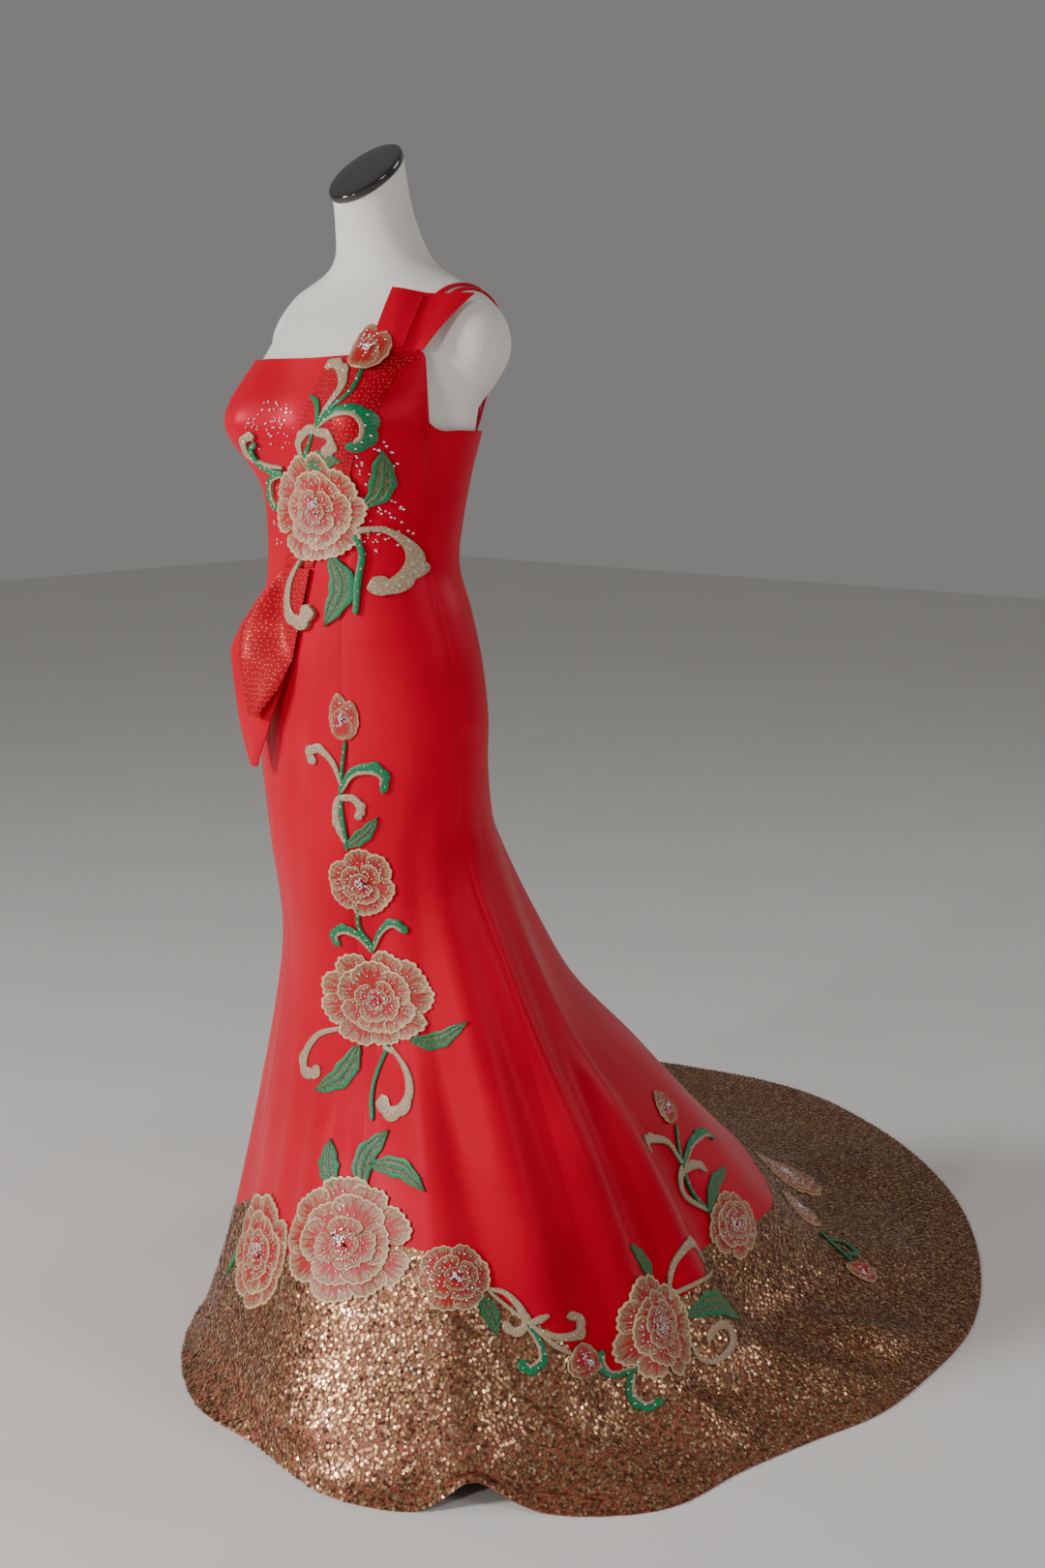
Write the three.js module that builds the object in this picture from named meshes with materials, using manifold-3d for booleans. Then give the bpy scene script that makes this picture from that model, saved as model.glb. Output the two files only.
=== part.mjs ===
// A one-shoulder mermaid wedding gown with a sequinned train, on an armless dress form and its stand.
// Millimetres, +Z up. The origin lies on the floor under the form's axis. The gown's front faces -Y,
// and its left side is +X. An angle of -90 degrees is the centre front, 0 the left side, 90 the back.
// A level counts the rows of the body and skirt tables from the shoulder (0) down to the hem (19).
import * as THREE from "three";
import { mergeVertices } from "three/addons/utils/BufferGeometryUtils.js";
import Module from "manifold-3d";

const wasm = await Module();
wasm.setup();

// Driving dimensions
const CLOTH = 2; // wall of the satin panels and of the sequinned band
const SEAM = 0.4; // clear gap between two pieces that are sewn together
const FORM_GAP = 0.9; // between the form and the cloth that hugs it
const FORM_GAP_HIGH = 3; // the same above the bust line, where the facets differ
const PATCH_LIFT = 1; // underside of an embroidered patch above the cloth
const PATCH = 2.2; // thickness of an embroidered patch
const BODICE_PATCH = 5.1; // the same where it also covers the sash
const OVER_SASH = 3.4; // how much higher the underside of a vine lies on the sash
const PATCH_GAP = 0.55; // between two patches that lie side by side
const SASH_LIFT = 2.1; // underside of the sash above the cloth
const SASH = 1.3;
const OVER_TAIL = 5.4; // how much higher the underside of a scroll lies on a tail of the sash
const SIMPLER = 0.15; // a cut solid may lose this much where its facets are joined
const TOUCH = 0.002; // cubic millimetres by which two solids may share a face's rounding

// Fitted body: the height of each level and the half width, depth and centre of its section
const BODY = [
  { z: 1290, half: 142, front: 94, back: 74, centre: 12 },
  { z: 1252, half: 142, front: 98, back: 80, centre: 14 },
  { z: 1212, half: 141, front: 106, back: 88, centre: 17 },
  { z: 1160, half: 138, front: 116, back: 92, centre: 17 },
  { z: 1108, half: 129, front: 110, back: 90, centre: 8 },
  { z: 1052, half: 123, front: 108, back: 92, centre: -4 },
  { z: 996, half: 120, front: 106, back: 92, centre: -10 },
  { z: 940, half: 134, front: 112, back: 100, centre: -5 },
  { z: 884, half: 145, front: 117, back: 108, centre: -2 },
  { z: 818, half: 151, front: 120, back: 113, centre: 0 },
  { z: 752, half: 149, front: 117, back: 114, centre: 1 },
];
// Flared skirt: how far each level reaches in eight directions, and its height in front and behind
const DIRECTIONS = [-90, -45, 0, 50, 95, 140, 180, 225];
const SKIRT = [
  { front: 660, back: 660, reach: [116, 121, 150, 148, 180, 146, 142, 122] },
  { front: 545, back: 545, reach: [107, 118, 193, 188, 254, 179, 141, 108] },
  { front: 442, back: 442, reach: [115, 136, 237, 240, 329, 226, 155, 120] },
  { front: 338, back: 338, reach: [133, 174, 282, 329, 442, 291, 179, 139] },
  { front: 235, back: 235, reach: [158, 230, 321, 404, 555, 376, 211, 158] },
  { front: 141, back: 135, reach: [188, 287, 355, 470, 677, 489, 242, 183] },
  { front: 56, back: 50, reach: [227, 343, 400, 545, 799, 620, 274, 218] },
];
const FLOOR_ROW = { front: 18, back: 9, share: 0.5 };
// The hem on the floor: its reach from the form's axis, by angle
const HEM = [
  [-143, 253], [-120, 250], [-102, 260], [-78, 275], [-66, 312], [-55, 363], [-42, 400], [-30, 410],
  [-17, 480], [-8, 515], [5, 525], [16, 565], [25, 625], [35, 683], [45, 755], [57, 838], [66, 910],
  [77, 1010], [88, 1115], [98, 1205], [107, 1235], [116, 1235], [126, 1110], [136, 900], [146, 660],
  [156, 470], [166, 370], [178, 315], [196, 275],
].map(([angle, reach]) => ({ angle, reach }));
// Bust cups, mirrored on the two sides
const CUP = { x: 76, z: 1162, wide: 54, below: 60, above: 74, out: 54, aside: 0.42 };
// Flutes of the skirt: ridges stand out and troughs (negative) fall back
const FLUTES = [
  { angle: -72, width: 12, out: 5, from: 11 },
  { angle: -46, width: 8, out: -4, from: 12 },
  { angle: -29, width: 6, out: 7, from: 11.5 },
  { angle: -20, width: 5, out: -8, from: 12 },
  { angle: -10, width: 5.5, out: 10, from: 11.5 },
  { angle: -2, width: 4.5, out: -7, from: 12 },
  { angle: 7, width: 5, out: 10, from: 11 },
  { angle: 16, width: 5, out: -10, from: 11.5 },
  { angle: 24, width: 6, out: 13, from: 11.5 },
  { angle: 36, width: 6.5, out: -18, from: 11.5 },
  { angle: 57, width: 9, out: 22, from: 12 },
  { angle: 77, width: 8, out: -14, from: 12 },
  { angle: 96, width: 9, out: 12, from: 12 },
  { angle: 116, width: 9, out: -14, from: 11.5 },
  { angle: 136, width: 9, out: 14, from: 12 },
  { angle: 156, width: 9, out: -13, from: 11.5 },
  { angle: 175, width: 8, out: 10, from: 11.5 },
  { angle: 191, width: 7, out: -8, from: 12 },
  { angle: 206, width: 7, out: 8, from: 11.5 },
  { angle: 222, width: 8, out: -7, from: 12 },
  { angle: 246, width: 11, out: -4, from: 12 },
];
// Where the hem band is pushed up by the floor: soft ridges by angle and level
const FLOOR_FOLDS = [
  { angle: -31, width: 5, level: 19, spread: 1.1, height: 30 },
  { angle: 8, width: 5, level: 17.6, spread: 0.7, height: 16 },
  { angle: 30, width: 5, level: 17.7, spread: 0.8, height: 18 },
  { angle: 40, width: 4.5, level: 17.9, spread: 0.7, height: 24 },
  { angle: 62, width: 6, level: 17.8, spread: 0.6, height: 12 },
  { angle: 84, width: 5, level: 18.2, spread: 0.6, height: 16 },
  { angle: 112, width: 6, level: 17.9, spread: 0.7, height: 18 },
  { angle: 138, width: 6, level: 17.7, spread: 0.7, height: 18 },
  { angle: 158, width: 6, level: 17.8, spread: 0.7, height: 14 },
];
// Seams by angle at some levels; the right half mirrors the left, and the centre back has its own
const SEAM_LEVELS = [1.5, 3, 5.5, 7, 8.5, 10, 12, 13, 15, 17, 19];
const PRINCESS = [-61, -61, -58, -65, -67, -64.5, -56.5, -53, -50, -47, -45];
const SIDE = [-27, -22, -12, -9, -7, -3, 2, 1, 0, -3, -8];
const BACK_PRINCESS = [30, 28, 24, 22, 22, 24, 30, 34, 40, 44, 47];
const CENTRE_BACK = [90, 90, 90, 90, 90, 90, 91, 92, 94, 96, 98];
// Top edge of the gown and the join of satin and sequins, as a level by angle
const TOP_EDGE = [
  [-150, 1.75], [-119, 1.58], [-90, 1.52], [-61, 1.45], [-36, 1.38], [-29, 1.42], [-25, 2.3], [-22, 3.0],
  [-5, 3.15], [90, 3.2], [185, 3.15], [197, 2.6],
].map(([angle, level]) => ({ angle, level }));
const SEQUIN_EDGE = [
  [-80, 15.4], [-43, 15.0], [-33, 15.0], [-22, 15.35], [-12, 15.85], [-4, 16.45], [0, 16.55], [6, 16.4],
  [18, 16.05], [32, 15.85], [45, 15.9], [58, 16.05], [95, 16.2], [140, 16.1], [165, 15.9], [184, 16.3],
  [200, 15.8], [225, 15.3], [255, 15.4],
].map(([angle, level]) => ({ angle, level }));

// Grid of the cloth: cells across each panel, and rows from the top edge down to the hem
const PANEL_CELLS = [8, 10, 8, 7, 7, 7, 7];
const CROWDED = { panel: 1, power: 1.4 }; // this panel's cells grow narrower towards the armhole
const CROSSING = 2; // a cell sheared more than this is halved along its other diagonal
const NECK_CELLS = 5;
const NECK_END = 4; // level
const PLAIN_LEVELS = [4, 5, 6, 7, 8, 9, 10, 11, 12, 13, 14];
const EDGE_CELLS = 2;
const BAND_CELLS = 5;
const HEM_LEVEL = BODY.length + SKIRT.length + 1;
const BAND_ROW = NECK_CELLS + PLAIN_LEVELS.length - 1 + EDGE_CELLS;

// Dress form above the gown: sections with the round ends of the shoulders, then the neck
const SHOULDERS = [
  { z: 1176, half: 133, front: 110, back: 88, centre: 17, armX: 112, armY: 26, arm: 18 },
  { z: 1200, half: 134, front: 106, back: 86, centre: 17, armX: 124, armY: 30, arm: 32 },
  { z: 1235, half: 138, front: 98, back: 81, centre: 16, armX: 134, armY: 31, arm: 46 },
  { z: 1265, half: 138, front: 88, back: 75, centre: 20, armX: 132, armY: 32, arm: 44 },
  { z: 1288, half: 138, front: 79, back: 66, centre: 28, armX: 126, armY: 34, arm: 37 },
  { z: 1304, half: 147, front: 72, back: 54, centre: 33, armX: 100, armY: 35, arm: 20 },
  { z: 1316, half: 115, front: 66, back: 50, centre: 36, armX: 70, armY: 35, arm: 10 },
  { z: 1330, half: 74, front: 60, back: 50, centre: 33, armX: 40, armY: 30, arm: 10 },
  { z: 1350, half: 56, front: 50, back: 50, centre: 25, armX: 0, armY: 20, arm: 10 },
  { z: 1385, half: 46, front: 46, back: 48, centre: 13, armX: 0, armY: 10, arm: 10 },
];
// The neck's top slopes, and a section below it already has part of that slope
const NECK_TOP = { z: 1436, centre: 2, radius: 41, slope: 0.78, rise: 0.5, below: 22 };
const CAP = { thick: 9, radius: 42, edge: 3, gap: 0.4 };
const BUST_SHARE = 0.86; // the form's bust against the gown's cups
const ARM_BLEND = 0.1; // per millimetre, how sharply the shoulders join the chest
const ARM_FALL = 3; // how steeply the arm's end falls off past its own radius
const SHOULDER_REACH = 150; // about how far the shoulders reach
const POLE = { radius: 15, flange: 45, flangeThick: 5 };
const BASE = { arm: 165, wide: 40, thick: 8 };

const rad = THREE.MathUtils.degToRad;
const smooth = (x) => THREE.MathUtils.smoothstep(x, 0, 1);
const bell = (x) => Math.exp(-x * x);
const mix = THREE.MathUtils.lerp;

// A smooth closed curve through rows of { angle, [key] }, as a function of the angle in degrees
function aroundCurve(rows, key) {
  const sorted = rows.map((row) => [((row.angle % 360) + 360) % 360, row[key]]).sort((a, b) => a[0] - b[0]);
  const count = sorted.length;
  const at = (i) => {
    const turn = Math.floor(i / count);
    const [angle, value] = sorted[i - turn * count];
    return [angle + 360 * turn, value];
  };
  return (angle) => {
    const a = ((angle % 360) + 360) % 360;
    let i = count - 1;
    while (i >= 0 && sorted[i][0] > a) i -= 1;
    const [a0, v0] = at(i - 1);
    const [a1, v1] = at(i);
    const [a2, v2] = at(i + 1);
    const [a3, v3] = at(i + 2);
    const h = a2 - a1;
    const s = (a - a1) / h;
    const m1 = ((v2 - v0) / (a2 - a0)) * h;
    const m2 = ((v3 - v1) / (a3 - a1)) * h;
    return (
      (2 * s ** 3 - 3 * s ** 2 + 1) * v1 +
      (s ** 3 - 2 * s ** 2 + s) * m1 +
      (3 * s ** 2 - 2 * s ** 3) * v2 +
      (s ** 3 - s ** 2) * m2
    );
  };
}

// A straight-line table: values at rising stops
function table(stops, values, x) {
  const last = stops.length - 1;
  if (x <= stops[0]) return values[0];
  if (x >= stops[last]) return values[last];
  const i = stops.findIndex((stop) => stop > x) - 1;
  return mix(values[i], values[i + 1], (x - stops[i]) / (stops[i + 1] - stops[i]));
}

const hemReach = aroundCurve(HEM, "reach");
const topEdge = aroundCurve(TOP_EDGE, "level");
const sequinEdge = aroundCurve(SEQUIN_EDGE, "level");
const skirtReach = SKIRT.map((row) =>
  aroundCurve(row.reach.map((reach, i) => ({ angle: DIRECTIONS[i], reach })), "reach"),
);

// The point of one whole level at an angle
function levelPoint(level, angle) {
  const c = Math.cos(rad(angle));
  const s = Math.sin(rad(angle));
  const body = BODY[level];
  if (body) {
    const depth = s < 0 ? body.front : body.back;
    return new THREE.Vector3(body.half * c, body.centre + depth * s, body.z);
  }
  const behind = Math.max(s, 0) ** 1.5;
  const k = Math.min(level - BODY.length, SKIRT.length - 1);
  let reach = skirtReach[k](angle);
  let z = mix(SKIRT[k].front, SKIRT[k].back, behind);
  if (level === HEM_LEVEL - 1) {
    reach = mix(reach, hemReach(angle), FLOOR_ROW.share);
    z = mix(FLOOR_ROW.front, FLOOR_ROW.back, behind);
  }
  if (level === HEM_LEVEL) {
    reach = hemReach(angle);
    z = 0;
  }
  return new THREE.Vector3(reach * c, reach * s, z);
}

function addCups(point, share) {
  if (point.y >= 0) return;
  for (const side of [-1, 1]) {
    const down = point.z - CUP.z;
    const d =
      ((point.x - side * CUP.x) / CUP.wide) ** 2 + (down / (down < 0 ? CUP.below : CUP.above)) ** 2;
    const out = CUP.out * share * Math.exp(-d);
    point.x += side * CUP.aside * out;
    point.y -= out;
  }
}

// The inner side of the cloth: a smooth curve down the levels, with the cups, flutes and floor folds
function gown(angle, level) {
  const v = THREE.MathUtils.clamp(level, 0, HEM_LEVEL);
  const i = Math.min(Math.floor(v), HEM_LEVEL - 1);
  const s = v - i;
  const p1 = levelPoint(i, angle);
  const p2 = levelPoint(i + 1, angle);
  const p0 = i > 0 ? levelPoint(i - 1, angle) : p1.clone().multiplyScalar(2).sub(p2);
  const p3 = i + 2 <= HEM_LEVEL ? levelPoint(i + 2, angle) : p2.clone().multiplyScalar(2).sub(p1);
  const w = [
    0.5 * (-s + 2 * s ** 2 - s ** 3),
    0.5 * (2 - 5 * s ** 2 + 3 * s ** 3),
    0.5 * (s + 4 * s ** 2 - 3 * s ** 3),
    0.5 * (s ** 3 - s ** 2),
  ];
  const point = new THREE.Vector3();
  [p0, p1, p2, p3].forEach((p, k) => point.addScaledVector(p, w[k]));
  addCups(point, 1);
  const fade = 1 - smooth((v - 17) / 2);
  let out = 0;
  for (const flute of FLUTES) {
    const off = ((((angle - flute.angle) % 360) + 540) % 360) - 180;
    out += flute.out * smooth((v - flute.from) / 4.5) * bell(off / flute.width);
  }
  point.x += Math.cos(rad(angle)) * out * fade;
  point.y += Math.sin(rad(angle)) * out * fade;
  for (const fold of FLOOR_FOLDS) {
    const off = ((((angle - fold.angle) % 360) + 540) % 360) - 180;
    point.z += fold.height * bell(off / fold.width) * bell((v - fold.level) / fold.spread) *
      (fold.level === HEM_LEVEL ? 1 : smooth((HEM_LEVEL - v) / 0.8));
  }
  point.z = Math.max(point.z, 0);
  return point;
}

// The outward normal of the cloth, and its directions across and up
function clothFrame(angle, level) {
  const v = Math.min(level, HEM_LEVEL - 0.02);
  const across = gown(angle + 0.4, v).sub(gown(angle - 0.4, v)).normalize();
  const up = gown(angle, v - 0.02).sub(gown(angle, v + 0.02)).normalize();
  const normal = new THREE.Vector3().crossVectors(across, up).normalize();
  up.crossVectors(normal, across);
  return { across, up, normal };
}

function seamAngle(index, level) {
  const at = (values) => table(SEAM_LEVELS, values, level);
  return [
    -180 - at(PRINCESS), at(PRINCESS), at(SIDE), at(BACK_PRINCESS), at(CENTRE_BACK),
    180 - at(BACK_PRINCESS), 180 - at(SIDE), 180 - at(PRINCESS),
  ][index];
}

const FIRST_COLUMN = PANEL_CELLS.map((_, i) => PANEL_CELLS.slice(0, i).reduce((a, b) => a + b, 0));
const COLUMNS = PANEL_CELLS.reduce((a, b) => a + b, 0);

function angleOfColumn(column, level) {
  const turn = Math.floor(column / COLUMNS);
  const c = column - turn * COLUMNS;
  let panel = PANEL_CELLS.length - 1;
  while (FIRST_COLUMN[panel] > c) panel -= 1;
  const from = seamAngle(panel, level);
  const to = seamAngle(panel + 1, level);
  let share = (c - FIRST_COLUMN[panel]) / PANEL_CELLS[panel];
  if (panel === CROWDED.panel) share = 1 - (1 - share) ** CROWDED.power;
  return 360 * turn + mix(from, to, share);
}

function columnOfAngle(angle, level) {
  const first = seamAngle(0, level);
  const a = first + ((((angle - first) % 360) + 360) % 360);
  let panel = PANEL_CELLS.length - 1;
  while (seamAngle(panel, level) > a) panel -= 1;
  const from = seamAngle(panel, level);
  let share = (a - from) / (seamAngle(panel + 1, level) - from);
  if (panel === CROWDED.panel) share = 1 - (1 - share) ** (1 / CROWDED.power);
  return FIRST_COLUMN[panel] + share * PANEL_CELLS[panel];
}

function levelOfRow(row, angle) {
  const plainEnd = NECK_CELLS + PLAIN_LEVELS.length - 1;
  if (row < NECK_CELLS) return mix(topEdge(angle), NECK_END, row / NECK_CELLS);
  if (row <= plainEnd) return table(PLAIN_LEVELS.map((_, i) => NECK_CELLS + i), PLAIN_LEVELS, row);
  const edge = sequinEdge(angle);
  if (row <= BAND_ROW) return mix(PLAIN_LEVELS.at(-1), edge, (row - plainEnd) / EDGE_CELLS);
  return mix(edge, HEM_LEVEL, (row - BAND_ROW) / BAND_CELLS);
}

function rowOfLevel(level, angle) {
  const plainEnd = NECK_CELLS + PLAIN_LEVELS.length - 1;
  const edge = sequinEdge(angle);
  const last = PLAIN_LEVELS.at(-1);
  if (level < NECK_END) return (NECK_CELLS * (level - topEdge(angle))) / (NECK_END - topEdge(angle));
  if (level <= last) return table(PLAIN_LEVELS, PLAIN_LEVELS.map((_, i) => NECK_CELLS + i), level);
  if (level <= edge) return plainEnd + (EDGE_CELLS * (level - last)) / (edge - last);
  return BAND_ROW + (BAND_CELLS * (level - edge)) / (HEM_LEVEL - edge);
}

// Angle and level of a grid point: the seams lean with the level and the edges with the angle
function gridPlace(column, row) {
  let level = levelOfRow(row, angleOfColumn(column, 9));
  let angle = 0;
  for (let pass = 0; pass < 4; pass += 1) {
    angle = angleOfColumn(column, level);
    level = levelOfRow(row, angle);
  }
  return { angle, level };
}

const gridCache = new Map();
// One point of the cloth's grid, on its inner side, with the outward normal
function gridPoint(column, row) {
  const key = `${((column % COLUMNS) + COLUMNS) % COLUMNS}_${row}`;
  if (!gridCache.has(key)) {
    const { angle, level } = gridPlace(column, row);
    gridCache.set(key, { inner: gown(angle, level), ...clothFrame(angle, level) });
  }
  return gridCache.get(key);
}

const aboveFloor = (point) => point.setZ(Math.max(point.z, 0));
const outerPoint = (column, row, lift = 0) => {
  const { inner, normal } = gridPoint(column, row);
  return aboveFloor(inner.clone().addScaledVector(normal, CLOTH + lift));
};

// Whether a cell of the cloth is split along its other diagonal, as the sheared ones by the armhole are
function isCrossed(column, row) {
  const main = outerPoint(column, row).distanceTo(outerPoint(column + 1, row + 1));
  const other = outerPoint(column, row + 1).distanceTo(outerPoint(column + 1, row));
  return main > CROSSING * other;
}

// The faceted outer face of the cloth at an angle and level
function facetPoint(angle, level, lift) {
  const top = topEdge(angle);
  if (level < top) return facetPoint(angle, top, lift).add(gown(angle, level)).sub(gown(angle, top));
  const column = columnOfAngle(angle, level);
  const row = Math.max(rowOfLevel(level, angle), 0);
  const c = Math.floor(column);
  const r = Math.min(Math.floor(row), BAND_ROW + BAND_CELLS - 1);
  const a = column - c;
  const b = row - r;
  const start = outerPoint(c, r);
  const right = outerPoint(c + 1, r);
  const below = outerPoint(c, r + 1);
  const end = outerPoint(c + 1, r + 1);
  const point = new THREE.Vector3();
  const weigh = (...pairs) => pairs.forEach(([corner, weight]) => point.addScaledVector(corner, weight));
  if (!isCrossed(c, r)) {
    if (b >= a) weigh([start, 1 - b], [below, b - a], [end, a]);
    else weigh([start, 1 - a], [right, a - b], [end, b]);
  } else if (a + b <= 1) {
    weigh([start, 1 - a - b], [right, a], [below, b]);
  } else {
    weigh([end, a + b - 1], [right, 1 - b], [below, 1 - a]);
  }
  return point.addScaledVector(clothFrame(angle, level).normal, lift);
}

// Meshes
function geometryOf(points, triangles) {
  const geometry = new THREE.BufferGeometry();
  geometry.setAttribute("position", new THREE.Float32BufferAttribute(points.flatMap((p) => p.toArray()), 3));
  const faces = volumeOf(points, triangles) < 0 ? triangles.map(([a, b, c]) => [a, c, b]) : triangles;
  geometry.setIndex(faces.flat());
  return geometry;
}

function volumeOf(points, triangles) {
  const cross = new THREE.Vector3();
  const share = ([a, b, c]) => points[a].dot(cross.crossVectors(points[b], points[c]));
  return triangles.reduce((sum, triangle) => sum + share(triangle), 0);
}

// A thin wall between two grids of points with the same rows and columns
function wallGeometry(front, back, crossed = () => false) {
  const rows = front.length;
  const columns = front[0].length;
  const points = [...front.flat(), ...back.flat()];
  const at = (side, i, j) => side * rows * columns + i * columns + j;
  const triangles = [];
  for (let i = 0; i + 1 < rows; i += 1) {
    for (let j = 0; j + 1 < columns; j += 1) {
      const [start, right, below, end] = [[i, j], [i, j + 1], [i + 1, j], [i + 1, j + 1]];
      const halves = crossed(i, j)
        ? [[start, below, right], [below, end, right]]
        : [[start, below, end], [start, end, right]];
      for (const [a, b, c] of halves) {
        triangles.push([at(0, ...a), at(0, ...b), at(0, ...c)]);
        triangles.push([at(1, ...a), at(1, ...c), at(1, ...b)]);
      }
    }
  }
  const rim = [];
  for (let j = 0; j + 1 < columns; j += 1) rim.push([0, j]);
  for (let i = 0; i + 1 < rows; i += 1) rim.push([i, columns - 1]);
  for (let j = columns - 1; j > 0; j -= 1) rim.push([rows - 1, j]);
  for (let i = rows - 1; i > 0; i -= 1) rim.push([i, 0]);
  rim.forEach(([i, j], k) => {
    const [m, n] = rim[(k + 1) % rim.length];
    triangles.push([at(0, i, j), at(0, m, n), at(1, m, n)]);
    triangles.push([at(0, i, j), at(1, m, n), at(1, i, j)]);
  });
  return geometryOf(points, triangles);
}

// A closed solid through rings of points, with a flat or pointed middle at both ends
function loftGeometry(rings, firstMiddle, lastMiddle) {
  const count = rings[0].length;
  const points = [...rings.flat(), firstMiddle, lastMiddle];
  const first = points.length - 2;
  const last = points.length - 1;
  const at = (i, j) => i * count + (j % count);
  const triangles = [];
  for (let j = 0; j < count; j += 1) {
    for (let i = 0; i + 1 < rings.length; i += 1) {
      triangles.push([at(i, j), at(i, j + 1), at(i + 1, j)]);
      triangles.push([at(i, j + 1), at(i + 1, j + 1), at(i + 1, j)]);
    }
    triangles.push([first, at(0, j + 1), at(0, j)]);
    triangles.push([last, at(rings.length - 1, j), at(rings.length - 1, j + 1)]);
  }
  return geometryOf(points, triangles);
}

function solidOf(geometry) {
  const bare = geometry.clone();
  bare.deleteAttribute("normal");
  bare.deleteAttribute("uv");
  const merged = mergeVertices(bare, 1e-4);
  return new wasm.Manifold(
    new wasm.Mesh({
      numProp: 3,
      vertProperties: merged.attributes.position.array,
      triVerts: new Uint32Array(merged.index.array),
    }),
  );
}

// The largest body of a solid, so that no crumb of a cut is left beside it
function largestBody(solid) {
  return solid.decompose().reduce((a, b) => (b.volume() > a.volume() ? b : a));
}

function geometryOfSolid(solid) {
  const mesh = largestBody(solid.asOriginal().simplify(SIMPLER)).getMesh();
  const geometry = new THREE.BufferGeometry();
  geometry.setAttribute("position", new THREE.BufferAttribute(mesh.vertProperties, 3));
  geometry.setIndex(new THREE.BufferAttribute(mesh.triVerts, 1));
  return geometry;
}

const finish = (color, roughness, metalness = 0) =>
  new THREE.MeshStandardMaterial({ color, roughness, metalness });
const SATIN = finish(0xc4081c, 0.42);
const SEQUINS = finish(0x9a6238, 0.35, 0.6);
const DOTTED = finish(0xb00a1c, 0.5);
const GOLD = finish(0xc9a071, 0.5, 0.2);
const GREEN = finish(0x08733e, 0.6);
const SKIN = finish(0xe9e1d6, 0.7);
const BLACK = finish(0x0c0a0a, 0.12);
const STEEL = finish(0xb9bcc0, 0.3, 0.9);

const model = new THREE.Group();
function add(name, geometry, material) {
  geometry.computeVertexNormals();
  const mesh = new THREE.Mesh(geometry, material);
  mesh.name = name;
  model.add(mesh);
  return mesh;
}

// A piece of cloth over a block of the grid; its seam edges stand back by half the gap
function clothBlock(fromColumn, toColumn, fromRow, toRow) {
  const seamRow = (row) => row === BAND_ROW;
  const grids = [[], []];
  for (let row = fromRow; row <= toRow; row += 1) {
    const lines = [[], []];
    for (let column = fromColumn; column <= toColumn; column += 1) {
      const { inner, across, up } = gridPoint(column, row);
      const shift = new THREE.Vector3();
      if (column === fromColumn) shift.addScaledVector(across, SEAM / 2);
      if (column === toColumn) shift.addScaledVector(across, -SEAM / 2);
      if (seamRow(row)) shift.addScaledVector(up, row === toRow ? SEAM / 2 : -SEAM / 2);
      lines[0].push(aboveFloor(outerPoint(column, row).add(shift)));
      lines[1].push(aboveFloor(inner.clone().add(shift)));
    }
    grids[0].push(lines[0]);
    grids[1].push(lines[1]);
  }
  return wallGeometry(...grids, (i, j) => isCrossed(fromColumn + j, fromRow + i));
}

const PANEL_NAMES = [
  "front_centre_panel", "front_left_panel", "back_side_left_panel", "back_left_panel",
  "back_right_panel", "back_side_right_panel", "front_right_panel",
];
PANEL_NAMES.forEach((name, i) => {
  const from = FIRST_COLUMN[i];
  add(name, clothBlock(from, from + PANEL_CELLS[i], 0, BAND_ROW), SATIN);
});
const HEM_ROW = BAND_ROW + BAND_CELLS;
[
  { name: "hem_band_front", from: FIRST_COLUMN[6] - COLUMNS, to: FIRST_COLUMN[2] },
  { name: "hem_band_left", from: FIRST_COLUMN[2], to: FIRST_COLUMN[4] },
  { name: "hem_band_right", from: FIRST_COLUMN[4], to: FIRST_COLUMN[6] },
].forEach(({ name, from, to }) => add(name, clothBlock(from, to, BAND_ROW, HEM_ROW), SEQUINS));

// The space the cloth takes, with the seam gap over it: patches and the sash are cut clear of it
// It starts and ends at a column of the back, where nothing lies on the cloth
const KEEP_OUT_START = FIRST_COLUMN[4] + 3;
const KEEP_OUT_DROP = new THREE.Vector3(0, 0, -1);
function clothKeepOut() {
  const columns = [...Array(COLUMNS - 1).keys()].map((i) => i + KEEP_OUT_START);
  const front = [];
  const back = [];
  for (let row = 0; row <= HEM_ROW; row += 1) {
    front.push(columns.map((column) => outerPoint(column, row, SEAM)));
    back.push(columns.map((column) => gridPoint(column, row).inner.clone().add(KEEP_OUT_DROP)));
  }
  return solidOf(wallGeometry(front, back, (i, j) => isCrossed(KEEP_OUT_START + j, i)));
}
const keepOut = clothKeepOut();

// What is left of a solid clear of some spaces, cut only where it reaches into them
function clearOf(solid, spaces) {
  const cut = (rest, space) => (rest.intersect(space).volume() > TOUCH ? rest.subtract(space) : rest);
  return spaces.reduce(cut, solid);
}

// Sash: a dotted strip from the left shoulder over the bodice to the waist, by level
const SASH_ROWS = [
  { level: 1.52, left: -72, right: -32 },
  { level: 1.9, left: -79, right: -41 },
  { level: 2.4, left: -84, right: -43 },
  { level: 2.9, left: -87, right: -47 },
  { level: 3.4, left: -89, right: -52 },
  { level: 4.0, left: -92, right: -58 },
  { level: 4.8, left: -96, right: -65 },
  { level: 5.4, left: -99, right: -70 },
  { level: 5.9, left: -101, right: -79 },
];
const SASH_END_GROWTH = 0.04; // levels per degree
const SASH_CELLS = { across: 6, down: 14 };
const SASH_ROOM = { beside: 0.4, below: 1.5 }; // degrees beside the sash and millimetres under it

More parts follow.
